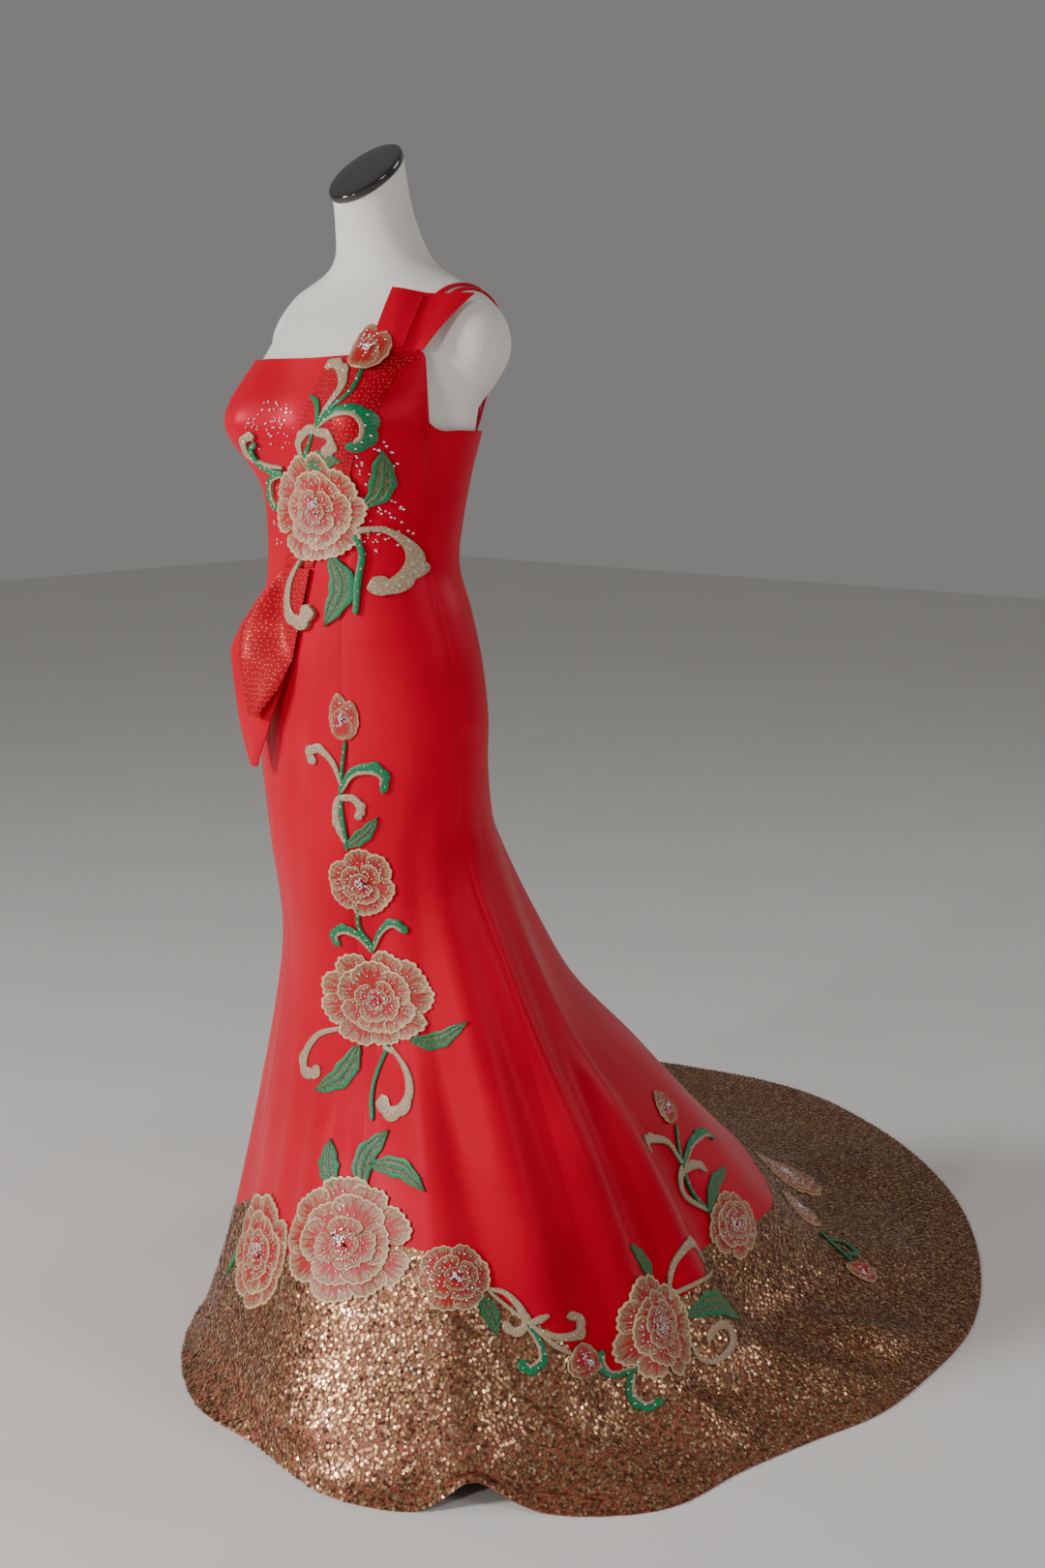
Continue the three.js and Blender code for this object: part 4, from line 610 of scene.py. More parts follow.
def crystal(name):
    """Cut crystal: bright, hard and slightly iridescent."""
    m = Shader(name, Metallic=0.35, Specular_IOR_Level=0.9, Coat_Weight=1.0, Coat_Roughness=0.04)
    hue = m.noise(m.place(), 160.0, 1.0)
    tone = m.ramp(hue, (0.35, (0.95, 0.8, 0.86)), (0.5, (0.97, 0.96, 1.0)), (0.65, (0.78, 0.88, 1.0)))
    return m.feed(Base_Color=tone, Roughness=0.08 + hue * 0.1)


def cotton(name, colour):
    """A closely woven cotton cover over wadding."""
    m = Shader(name, Specular_IOR_Level=0.3, Sheen_Weight=0.2)
    place = m.place()
    weave = m.noise(place, 1300.0, 2.0, 0.6)
    lump = m.noise(place, 14.0, 3.0)
    tone = m.mix(m.fade(lump, 0.35, 0.7), shade(colour, 0.95), colour)
    relief = m.bump(weave * 0.5 + lump * 0.5, 0.15, 0.001)
    return m.feed(Base_Color=tone, Roughness=0.72 + weave * 0.1, Normal=relief)


def gloss(name, colour):
    """A hard glossy lacquer, very slightly uneven."""
    m = Shader(name, Coat_Weight=0.8, Coat_Roughness=0.03, Specular_IOR_Level=0.6)
    wave = m.noise(m.place(), 30.0, 1.0)
    tone = m.mix(wave, colour, shade(colour, 1.3))
    return m.feed(Base_Color=tone, Roughness=0.08 + wave * 0.06)


def brushed(name, colour):
    """Brushed steel: fine lines round the pole and along the bars."""
    m = Shader(name, Metallic=1.0)
    line = m.noise(m.place(), 900.0, 2.0, 0.7)
    tone = m.mix(line, colour, shade(colour, 0.85))
    return m.feed(Base_Color=tone, Roughness=0.25 + line * 0.15, Normal=m.bump(line, 0.1, 0.0002))


# Settings a user would change
def colour_prop(name, about, value):
    return bpy.props.FloatVectorProperty(
        name=name, description=about, subtype="COLOR", size=3, min=0, max=1, default=value
    )


def size_prop(name, about, value, least, most):
    return bpy.props.FloatProperty(
        name=name, description=about, default=value, min=least, max=most, unit="LENGTH"
    )


class GownColours(bpy.types.PropertyGroup):
    """The gown's colours."""

    satin: colour_prop("Satin", "Colour of the satin", (0.6, 0.0, 0.021))
    sash: colour_prop("Sash", "Colour of the dotted satin", (0.46, 0.0, 0.018))
    dot: colour_prop("Dots", "Colour of the dots on the sash", (0.75, 0.36, 0.12))
    sequin: colour_prop("Sequins", "Middle colour of the sequins", (0.47, 0.27, 0.13))
    champagne: colour_prop("Champagne", "Colour of the metallic embroidery", (0.5, 0.34, 0.2))
    green: colour_prop("Green", "Colour of the leaves", (0.0, 0.24, 0.075))
    cover: colour_prop("Cover", "Colour of the dress form's cover", (0.78, 0.74, 0.69))


class GownSizes(bpy.types.PropertyGroup):
    """The gown's small sizes."""

    sequin: size_prop("Sequin", "Width of a sequin", 0.0044, 0.003, 0.01)
    spacing: size_prop("Spacing", "Distance between sequins", 0.0042, 0.003, 0.02)
    crystal: size_prop("Crystal", "Width of a crystal", 0.0027, 0.001, 0.01)
    tilt: bpy.props.FloatProperty(
        name="Tilt", description="How far a sequin may lean", default=0.17, min=0, max=1, subtype="ANGLE"
    )


MATERIALS = {}


def material(name):
    """One of the gown's materials, made the first time it is asked for."""
    c = bpy.context.scene.gown_colours
    deep_green = (0.0, 0.1, 0.04)
    sequins = [(0.14, 0.05, 0.03), (0.3, 0.15, 0.07), c.sequin, shade(c.sequin, 1.3), (0.85, 0.62, 0.42)]
    makers = {
        "satin": (satin, "red_satin", c.satin),
        "dotted": (dotted_satin, "dotted_satin", c.sash, c.dot),
        "net": (sequin_net, "sequin_net", shade(c.sequin, 0.7), (0.24, 0.02, 0.015)),
        "sequin": (sequin, "gold_sequins", sequins),
        "gold": (stitched, "champagne_stitch", c.champagne, shade(c.champagne, 0.5), 0.8),
        "green": (stitched, "green_stitch", c.green, deep_green, 0.0, 620.0),
        "petal": (petal_cloth, "petal_stitch", (0.55, 0.01, 0.01), c.champagne, (0.26, 0.12, 0.06)),
        "leaf": (leaf_cloth, "leaf_stitch", c.green, deep_green, (0.2, 0.15, 0.05)),
        "crystal": (crystal, "cut_crystal"),
        "cotton": (cotton, "cotton_cover", c.cover),
        "gloss": (gloss, "black_lacquer", (0.012, 0.01, 0.01)),
        "steel": (brushed, "brushed_steel", (0.6, 0.61, 0.63)),
    }
    if name not in MATERIALS:
        make, *settings = makers[name]
        MATERIALS[name] = make(*settings)
    return MATERIALS[name]


# Gown
FITTED = {"to": 4, "share": 0.16}  # a panel's first rows go down to this level
FRONT, LEFT_FRONT, FORM = ["satin_front_centre_panel"], ["satin_front_left_panel"], ["dress_form_cover"]


def between_seams(first, last, rows, columns, guess, levels):
    """A grid's angles and levels between two seams; levels(angle, down) says how low each row lies."""
    share, down = np.linspace(0, 1, columns)[None, :], np.linspace(0, 1, rows)[:, None]
    level = np.broadcast_to(guess[0] + (guess[1] - guess[0]) * down, (rows, columns))
    for _ in range(6):
        angle = seam_angle(first, level) * (1 - share) + seam_angle(last, level) * share
        level = levels(angle, down)
    return angle, level


def panel_levels(angle, down):
    """From the top edge to the fitted part's level, then to the edge of the sequins."""
    to, share = FITTED["to"], FITTED["share"]
    top, low = around(TOP_EDGE, angle), around(SEQUIN_EDGE, angle)
    fitted = top + (to - top) * down / share
    return np.where(down < share, fitted, to + (low - to) * (down - share) / (1 - share))


def band_levels(angle, down):
    """From the edge of the sequins to the hem."""
    edge = around(SEQUIN_EDGE, angle)
    return edge + (LAST - edge) * down


def drawn_in(points, row, beside):
    """Draws both sides and one end row in by half a seam, so that a fine line shows between sewn pieces."""
    points = points.copy()
    for edge, inside in ((np.s_[:, 0], np.s_[:, 1]), (np.s_[:, -1], np.s_[:, -2]), (row, beside)):
        points[edge] += unit(points[inside] - points[edge]) * SEAM / 2
    return points


class GOWN_OT_panels(bpy.types.Operator):
    """Makes the seven satin panels"""

    bl_idname = "gown.panels"
    bl_label = "Satin panels"

    def execute(self, context):
        roll = 1.1 * np.abs(np.linspace(-1, 1, 26))[None, :, None] ** 20
        for index, name in enumerate(PANELS):
            angle, level = between_seams(index, index + 1, 160, 26, (2, 16), panel_levels)
            outer, normal = cloth_points(angle, level)
            outer = drawn_in(outer - normal * roll, -1, -2)
            sheet("satin_" + name, name, outer, outer - normal * WALL, "satin", "satin", FORM)
        return {"FINISHED"}


BANDS = [("hem_band_front", 6, 8), ("hem_band_left", 2, 4), ("hem_band_right", 4, 6)]  # first and last seam
LEAST_HEIGHT = {"net": 0.9, "sequin": 0.3}  # of the cloth's outer side and the sequins above the floor
FINE = (300, 900)  # rows and columns of the grid that spreads the sequins


class GOWN_OT_band(bpy.types.Operator):
    """Makes the hem band and train, and the sequins on them"""

    bl_idname = "gown.band"
    bl_label = "Sequinned band"

    def execute(self, context):
        rng = np.random.default_rng(SEED)
        for name, first, last in BANDS:
            angle, level = between_seams(first, last, 60, 96, (15.5, LAST), band_levels)
            outer, normal = cloth_points(angle, level)
            outer = drawn_in(outer, 0, 1)
            inner = outer - normal * WALL
            inner[..., 2] = np.maximum(inner[..., 2], 0)
            outer[..., 2] = np.maximum(outer[..., 2], LEAST_HEIGHT["net"])
            sheet("net_" + name, name, outer, inner, "net", "sequins", FRONT)
            self.sequins(name, outer, normal, context.scene.gown_sizes, rng)
        return {"FINISHED"}

    def sequins(self, name, outer, normal, sizes, rng):
        """Sequins: hexagons along the band, one each time the area passed reaches the spacing's square."""
        rows, columns = outer.shape[:2]
        s, t = np.linspace(0, rows - 1.001, FINE[0]), np.linspace(0, columns - 1.001, FINE[1])
        fine = bilinear(outer, *np.meshgrid(s, t, indexing="ij"))
        across, along = fine[:-1, 1:] - fine[:-1, :-1], fine[1:, :-1] - fine[:-1, :-1]
        cell = np.linalg.norm(np.cross(across, along), axis=-1)
        total = np.cumsum(cell.ravel())
        step = (sizes.spacing * 1000) ** 2
        picks = np.searchsorted(total, np.arange(step / 2, total[-1], step))
        ia, ib = np.unravel_index(np.minimum(picks, cell.size - 1), cell.shape)
        n = len(ia)
        a = np.clip(s[ia] + rng.uniform(0, s[1] - s[0], n), 0.15, rows - 1.05)
        b = np.clip(t[ib] + rng.uniform(0, t[1] - t[0], n), 0.1, columns - 1.05)
        middle, out = bilinear(outer, a, b), unit(bilinear(normal, a, b))
        lean = unit(out + rng.normal(0, math.tan(sizes.tilt) * 0.6, (n, 3)))
        side = unit(np.cross(lean, rng.normal(0, 1, (n, 3))))
        other = np.cross(lean, side)
        radius = sizes.sequin * 500 * rng.uniform(0.85, 1.08, n)[:, None, None]
        turn = np.stack([np.cos(HEXAGON), np.sin(HEXAGON)], -1)
        ring = side[:, None] * turn[None, :, :1] + other[:, None] * turn[None, :, 1:]
        points = (middle + out * 0.8 + lean * rng.uniform(0, 0.5, (n, 1)))[:, None] + ring * radius
        points[..., 2] = np.maximum(points[..., 2], LEAST_HEIGHT["sequin"])
        fan = np.array([[0, 1, 2], [0, 2, 3], [0, 3, 4], [0, 4, 5]])
        faces = (np.arange(n)[:, None, None] * 6 + fan[None]).reshape(-1, 3)
        tone = np.stack([rng.uniform(0.02, 0.98, n), rng.uniform(0.02, 0.98, n)], -1)
        uv = tone[:, None] + 0.004 * turn[None]
        piece = Piece("sequins_" + name)
        piece.points, piece.faces, piece.count = [points.reshape(-1, 3)], [faces], 6 * n
        piece.maps, piece.slots = [uv.reshape(-1, 2)[faces].reshape(-1, 2)], [np.zeros(len(faces))]
        piece.make([material("sequin")], slot="sequins", sharp=0, uv_name="OFBake")


def bilinear(grid, a, b):
    """Values of a grid between its rows and columns, from the four corners of each cell."""
    i = np.clip(np.floor(a).astype(int), 0, grid.shape[0] - 2)
    j = np.clip(np.floor(b).astype(int), 0, grid.shape[1] - 2)
    u, v = (a - i)[..., None], (b - j)[..., None]
    low, high = (grid[k, j] * (1 - v) + grid[k, j + 1] * v for k in (i, i + 1))
    return low * (1 - u) + high * u


# Sash and tails
SASH_ROWS = np.array([  # level, left, right
    (1.52, -72, -32), (1.9, -79, -41), (2.4, -84, -43), (2.9, -87, -47), (3.4, -89, -52), (4.0, -92, -58),
    (4.8, -96, -65), (5.4, -99, -70), (5.9, -101, -79),
])
TAILS = {  # look, slot, height where it leaves the sash, and rows of level, left, right and stand-off
    "sash_tail_plain": ("satin", "satin", 0.8, np.array([
        (5.98, -101, -82, 0.8), (6.5, -112, -85, 13), (7.2, -123, -90, 25), (7.85, -131, -94, 33),
        (8.5, -123, -98, 31), (9.2, -120, -104, 27), (9.85, -116, -111, 24),
    ])),
    "sash_tail_dotted": ("dotted", "dotted_satin", 3.4, np.array([
        (5.98, -99, -80, 3.4), (6.4, -106, -83, 15.6), (6.95, -113, -87, 27), (7.35, -116, -89, 33),
        (7.9, -113, -92, 38), (8.4, -110, -96, 36), (8.9, -107, -103, 33),
    ])),
}
# Where a tail leaves the body: the angle at each level, and the nearest its free edge may come
HINGE = {"levels": [6, 7.1, 8, 9], "angles": [-99, -99, -88, -84], "nearest": -106}


class GOWN_OT_sash(bpy.types.Operator):
    """Makes the dotted sash and its two tails"""

    bl_idname = "gown.sash"
    bl_label = "Sash and tails"

    def execute(self, context):
        share = np.linspace(0, 1, 36)[None, :]

        def strip_grid(rows, first, last, count):
            """Levels down a strip, the angles across it, and its other columns at each level."""
            down = np.linspace(first, last, count)[:, None]
            left, right, *others = (np.interp(down, rows[:, 0], column) for column in rows.T[1:])
            angle = left * (1 - share) + right * share
            return down, left, angle, np.broadcast_to(down, angle.shape), *others

        down, _, angle, level = strip_grid(SASH_ROWS, 1.52, 5.95, 90)
        pleat = 0.6 * np.abs(np.sin(math.pi * (share * 3 + 0.15 * np.sin(down * 2))))
        outer, normal = cloth_points(angle, level, 1.6 + pleat)
        sheet("dotted_sash", "sash", outer, outer - normal * 1.2, "dotted", "dotted_satin", FRONT)
        for name, (look, slot, flush, rows) in TAILS.items():
            down, left, angle, level, stand = strip_grid(rows, rows[0, 0], rows[-1, 0], 70)
            hinge = np.interp(down, HINGE["levels"], HINGE["angles"])
            far = np.minimum(left, HINGE["nearest"])
            off = flush + (stand - flush) * smooth((hinge - angle) / (hinge - far))
            off = off + 1.2 * np.sin(math.pi * 2.2 * share + down) * smooth((down - 6.2) / 1.5)
            outer, normal = cloth_points(angle, level, off + CLOTH)
            sheet(name + "_cloth", name, outer, outer - normal * 1.4, look, slot, FRONT)
        return {"FINISHED"}


# Shoulder
FLAP_FOOT = np.array([
    (88.1, -89.2, 1236.3), (104, -76.5, 1237.3), (115, -63, 1238), (122.5, -53, 1238.9), (132, -47, 1240.6),
])
FLAP_HEAD = np.array([(91, -53, 1309), (104, -41, 1306), (119, -27, 1303), (136, -7, 1302), (154, 14, 1302)])
FLAPS = {  # across from and to; up from, and to at either side; how far out
    "shoulder_flap": ((0, 1), (0, 1, 1), 2.0), "shoulder_fold": ((0.03, 0.47), (0.06, 0.84, 0.93), 4.4),
}
STRAP_ROUTE = [
    (122, -14, 1296), (124, 20, 1306), (125, 50, 1298), (127, 73, 1268), (127, 77, 1240), (111, 75, 1196),
    (108, 73, 1149),
]
STRAPS = {"strap_outer": -5.5, "strap_inner": 5.5}  # how far beside the route
STRAP = {"rows": 60, "leaves": 35, "half": 3, "top": 3.0, "under": 1.4, "long": 0.26, "seen_from": 80}
SHOULDER_MIDDLE = (80, 30, 1235)


def on_line(line, share):
    """Points a share of the way along a line of evenly counted points."""
    stops = np.linspace(0, 1, len(line))
    return np.stack([np.interp(share, stops, line[:, k]) for k in range(3)], -1)


def flap_surface(across, up, lift):
    """The shoulder flap: straight lines from its foot to its head, bowed out between, moved out by lift."""
    foot, head = on_line(FLAP_FOOT, across), on_line(FLAP_HEAD, across)
    ahead, back = np.minimum(across + 0.12, 1), np.maximum(across - 0.12, 0)
    out = unit(np.cross(on_line(FLAP_FOOT, ahead) - on_line(FLAP_FOOT, back), head - foot))
    bow = lift + 20 * up * (1 - up) + 1.5 * np.sin(across * 9) * up
    return foot + (head - foot) * up[..., None] + out * bow[..., None], out


class GOWN_OT_shoulder(bpy.types.Operator):
    """Makes the shoulder flap, its fold and the two straps"""

    bl_idname = "gown.shoulder"
    bl_label = "Shoulder flap and straps"

    def execute(self, context):
        share, up = np.meshgrid(np.linspace(0, 1, 32), np.linspace(0, 1, 32))
        for name, ((first, last), (low, high, high_right), lift) in FLAPS.items():
            across = first + (last - first) * share
            rise = low + (high + (high_right - high) * share - low) * up
            outer, normal = flap_surface(across, rise, lift)
            inner = outer - normal * 1.7
            sheet(name + "_cloth", name, outer, inner, "satin", "satin", LEFT_FRONT)
        for name, beside in STRAPS.items():
            self.strap(name, beside)
        return {"FINISHED"}

    def strap(self, name, beside):
        """A narrow strap laid on the dress form over the shoulder, then taut down to the back's edge."""
        rows, leaves = STRAP["rows"], STRAP["leaves"]
        middle, ahead, _ = route(STRAP_ROUTE, rows)
        heart = np.broadcast_to(SHOULDER_MIDDLE, middle.shape).astype(float)
        heart[:, 2] = np.minimum(middle[:, 2], heart[:, 2])
        out = unit(middle - heart)
        side = unit(np.cross(ahead, out))
        out = out[:, None]
        across = np.linspace(-1, 1, 5)[None, :, None]
        over = middle[:, None] + side[:, None] * (beside + STRAP["half"] * across)
        far = over + out * STRAP["seen_from"]
        rays = [(Vector(p), Vector(-q[0])) for row, q in zip(far, out) for p in row]
        on = np.array([tuple(COVER["tree"].ray_cast(*ray)[0]) for ray in rays]).reshape(over.shape)
        for _ in range(4):
            on[1:-1] = 0.25 * on[:-2] + 0.5 * on[1:-1] + 0.25 * on[2:]
        share = np.linspace(0, 1, rows - leaves)[:, None, None]
        taut = on[leaves] * (1 - share) + on[-1] * share
        lift = ((taut - on[leaves:]) * out[leaves:]).sum(-1, keepdims=True)
        on[leaves:] += out[leaves:] * np.maximum(lift, 0)
        tuck = 1.2 * smooth((np.arange(rows) - rows + 4) / 3)[:, None, None]
        top = on + out * (STRAP["top"] - tuck + 0.4 * (1 - across**2))
        run = np.linspace(0, STRAP["long"], rows)[:, None] + 0 * across[..., 0]
        uv = np.stack([0.006 * across[..., 0] + 0 * run, run], -1)
        piece = Piece(name + "_cloth")
        piece.plate(top, on + out * (STRAP["under"] - tuck), uv)
        piece.make([material("satin")], [name], "satin")


def route(points, count):
    """Evenly spread places along a smooth curve through a few points, the way ahead and the length passed."""
    p = np.array(points, float)
    p = np.vstack([2 * p[0] - p[1], p, 2 * p[-1] - p[-2]])
    t = np.linspace(0, len(points) - 1 - 1e-6, 400)
    i = np.floor(t).astype(int)
    line = cubic(p[i], p[i + 1], p[i + 2], p[i + 3], (t - i)[:, None])
    run = np.concatenate([[0], np.cumsum(np.linalg.norm(np.diff(line, axis=0), axis=1))])
    at = np.linspace(0, run[-1], count)
    middle = np.stack([np.interp(at, run, values) for values in line.T], -1)
    return middle, unit(np.gradient(middle, axis=0)), at


# Dress form
COVER = {}
TORSO = (10, 3.9, 60)  # first and last level and the rings between
UNDER = 1.6  # depth of the cover under the cloth
CUP_SHARE = 0.86  # of the gown's cups
SOFTENED = {"over": 60, "rounds": 16}  # the height over which the shoulders grow soft
SHOULDERS = np.array([  # height, half, front, back, centre, and the arm's x, y and radius
    (1176, 133, 110, 88, 17, 112, 26, 18), (1200, 134, 106, 86, 17, 124, 30, 32),
    (1235, 138, 98, 81, 16, 134, 31, 46), (1265, 138, 88, 75, 20, 132, 32, 44),
    (1288, 138, 79, 66, 28, 126, 34, 37), (1304, 147, 72, 54, 33, 100, 35, 20),
    (1316, 115, 66, 50, 36, 70, 35, 10), (1330, 74, 60, 50, 33, 40, 30, 10),
    (1350, 56, 50, 50, 25, 0, 20, 10), (1385, 46, 46, 48, 13, 0, 10, 10),
], float)
CHEST = {"from": 1176, "to": 1390, "radius": 44, "centre": 11}  # heights; the neck at the upper one
NECK = {"z": 1436, "centre": 2, "radius": 41, "slope": 0.78, "rise": 0.5}
CAP = {"thick": 9, "radius": 42, "edge": 3, "gap": 0.4}


def shoulder_ring(z, angle):
    """A section of the shoulders: an ellipse for the chest joined softly with a circle for each arm's end."""
    columns = SHOULDERS.T[1:]
    values = (np.interp(z, SHOULDERS[:, 0], column) for column in columns)
    half, front, back, centre, arm_x, arm_y, arm = values
    c, s = circle(angle)
    x, y = half * c, np.where(s < 0, front, back) * s
    chest = np.hypot(x, y)
    ray = np.stack([x, y], -1) / chest[..., None]
    to_arm = np.stack([np.sign(c) * arm_x, (arm_y - centre) + 0 * c], -1)
    along = (to_arm * ray).sum(-1)
    beside = np.linalg.norm(to_arm - ray * along[..., None], axis=-1)
    reach = along + np.sqrt(np.maximum(arm**2 - beside**2, 0)) - np.maximum(beside - arm, 0) * 3
    far = np.log(np.exp(0.1 * (chest - 150)) + np.exp(0.1 * (reach - 150))) / 0.1 + 150
    ring = np.stack([ray[..., 0] * far, centre + ray[..., 1] * far, z + 0 * far], -1)
    return add_cups(ring, CUP_SHARE)


def turned_piece(name, rings):
    """A piece of one closed skin, with a map round and up it."""
    u, v = np.meshgrid(np.linspace(0, 1, rings.shape[1]), np.linspace(0, 1, len(rings)))
    piece = Piece(name)
    piece.tube(rings, np.stack([u, v], -1))
    return piece


class GOWN_OT_form(bpy.types.Operator):
    """Makes the dress form's cover and its neck cap"""

    bl_idname = "gown.form"
    bl_label = "Dress form"

    def execute(self, context):
        angle = np.linspace(-180, 180, 121)[:-1]
        rings = []
        for level in np.linspace(*TORSO):
            at = np.full_like(angle, level)
            point = gown(angle, at) - cloth_frame(angle, at)[2] * UNDER
            rings.append(add_cups(point, CUP_SHARE - 1))
        low, high, r0, y0 = CHEST.values()
        for z in np.concatenate([np.linspace(low, 1288, 26), np.linspace(1292, high, 34)]):
            rings.append(shoulder_ring(float(z), angle))
        c, s = circle(angle)
        for rise in np.linspace(0.15, 1, 10):
            z = high + (NECK["z"] - high) * rise + NECK["slope"] * rise * NECK["radius"] * s
            r = r0 + (NECK["radius"] - r0) * rise
            rings.append(np.stack([r * c, y0 + (NECK["centre"] - y0) * rise + r * s, z], -1))
        rings = np.stack(rings)
        share = smooth((rings[1:-1, :1, 2:] - low) / SOFTENED["over"])
        for _ in range(SOFTENED["rounds"]):
            rings[1:-1] += share * (0.25 * rings[:-2] + 0.25 * rings[2:] - 0.5 * rings[1:-1])
        piece = turned_piece("dress_form_cover", rings)
        piece.make([material("cotton")], ["dress_form"], "form_cover")
        faces = [tuple(int(k) for k in face) for face in piece.faces[0]]
        COVER["tree"] = BVHTree.FromPolygons([Vector(p) for p in piece.points[0]], faces)
        self.cap()
        return {"FINISHED"}

    def cap(self):
        """The neck cap: a round-edged disc turned about its axis and tipped with the neck's top."""
        r, t, e = CAP["radius"], CAP["thick"], CAP["edge"]
        bend = np.radians(np.linspace(0, 90, 7))
        profile = [(r - 1, 0), (r, 1)] + [(r - e + e * math.cos(b), t - e + e * math.sin(b)) for b in bend]
        profile += [(r * 0.5, t + 0.3)]
        c, s = circle(np.linspace(0, 360, 97)[:-1])
        rings = np.stack([np.stack([p * c, p * s, 0 * c + h], -1) for p, h in profile])
        rings[..., 1] *= math.hypot(1, NECK["slope"])
        tip = math.atan(NECK["slope"])
        y = rings[..., 1] * math.cos(tip) - rings[..., 2] * math.sin(tip)
        z = rings[..., 1] * math.sin(tip) + rings[..., 2] * math.cos(tip)
        rings = np.stack([rings[..., 0], y + NECK["centre"] - 0.3, z + NECK["z"] + CAP["gap"]], -1)
        piece = turned_piece("neck_cap_lacquer", rings)
        piece.make([material("gloss")], ["neck_cap"], "cap_gloss", sharp=0)


class GOWN_OT_stand(bpy.types.Operator):
    """Finishes the pole and the foot of the stand"""

    bl_idname = "gown.stand"
    bl_label = "Stand"

    def execute(self, context):
        for name in ("stand_pole", "stand_base"):
            NODES[name].data.materials.clear()
            NODES[name].data.materials.append(material("steel"))
        return {"FINISHED"}


# Embroidery. Each group has an anchor on the cloth (angle, level); x runs across from it and y up.
GRID = 5.0  # between the places of a ground
NEWTON = {"rounds": 16, "turn": 5, "drop": 0.4, "levels": (0.3, 18.9)}  # how a ground's places are found
LEAST_LIFT = 0.25  # of a stitched part's underside above the cloth
STITCH = 1.5  # height of a strip's stitch


class Ground:
    """A flat map of the cloth round an anchor: millimetres across and up give points and normals.

    Newton's steps find the angle and level whose point lies (x, y) from the anchor along its directions.
    """

    def __init__(self, anchor, box):
        x0, x1, y0, y1 = box
        self.x0, self.y0 = x0, y0
        x, y = np.meshgrid(np.arange(x0, x1 + GRID, GRID), np.arange(y0, y1 + GRID, GRID))
        origin = gown(*[np.array([value]) for value in anchor])[0]
        across, up, _ = (v[0] for v in cloth_frame(np.array([anchor[0]]), np.array([float(anchor[1])])))
        angle, level = np.full(x.shape, float(anchor[0])), np.full(x.shape, float(anchor[1]))

        def local(a, v):
            d = gown(a, v) - origin
            return d @ across, d @ up

        for _ in range(NEWTON["rounds"]):
            u, v = local(angle, level)
            ua, va = local(angle + TURN, level)
            ul, vl = local(angle, level - DROP)
            a, b, c, d = (ua - u) / TURN, (u - ul) / DROP, (va - v) / TURN, (v - vl) / DROP
            det = a * d - b * c
            turn, drop = ((x - u) * d - (y - v) * b) / det, ((y - v) * a - (x - u) * c) / det
            angle = angle + np.clip(turn, -NEWTON["turn"], NEWTON["turn"])
            level = np.clip(level + np.clip(drop, -NEWTON["drop"], NEWTON["drop"]), *NEWTON["levels"])
        self.points, self.normals = cloth_points(angle, level)

    def at(self, x, y, height):
        """The point over (x, y), so high above the cloth."""
        a, b = (y - self.y0) / GRID, (x - self.x0) / GRID
        points, normals = bilinear(self.points, a, b), unit(bilinear(self.normals, a, b))
        return points + normals * np.asarray(height)[..., None]


WIDTH_STOPS = [0, 0.55, 1]  # where a strip has its three widths
PETAL, GOLD, GREEN, LEAF, CRYSTAL = range(5)
EMBROIDERY = ["petal", "gold", "green", "leaf", "crystal"]
SLOT_OF_KIND = {"stem": GREEN, "curl": GREEN, "crescent": GREEN, "leaf": LEAF, "scroll": GOLD, "cord": GOLD}


def lay(piece, ground, x, y, height, under, uv, slot):
    """Adds a stitched plate between two heights over a ground."""
    piece.plate(ground.at(x, y, height), ground.at(x, y, np.full_like(x, under)), uv, slot)


def flat_route(path, count):
    """Places along a curve on a ground, the sideways direction there and the length passed."""
    middle, ahead, run = route(path, count)
    return middle, np.stack([-ahead[:, 1], ahead[:, 0]], -1), run


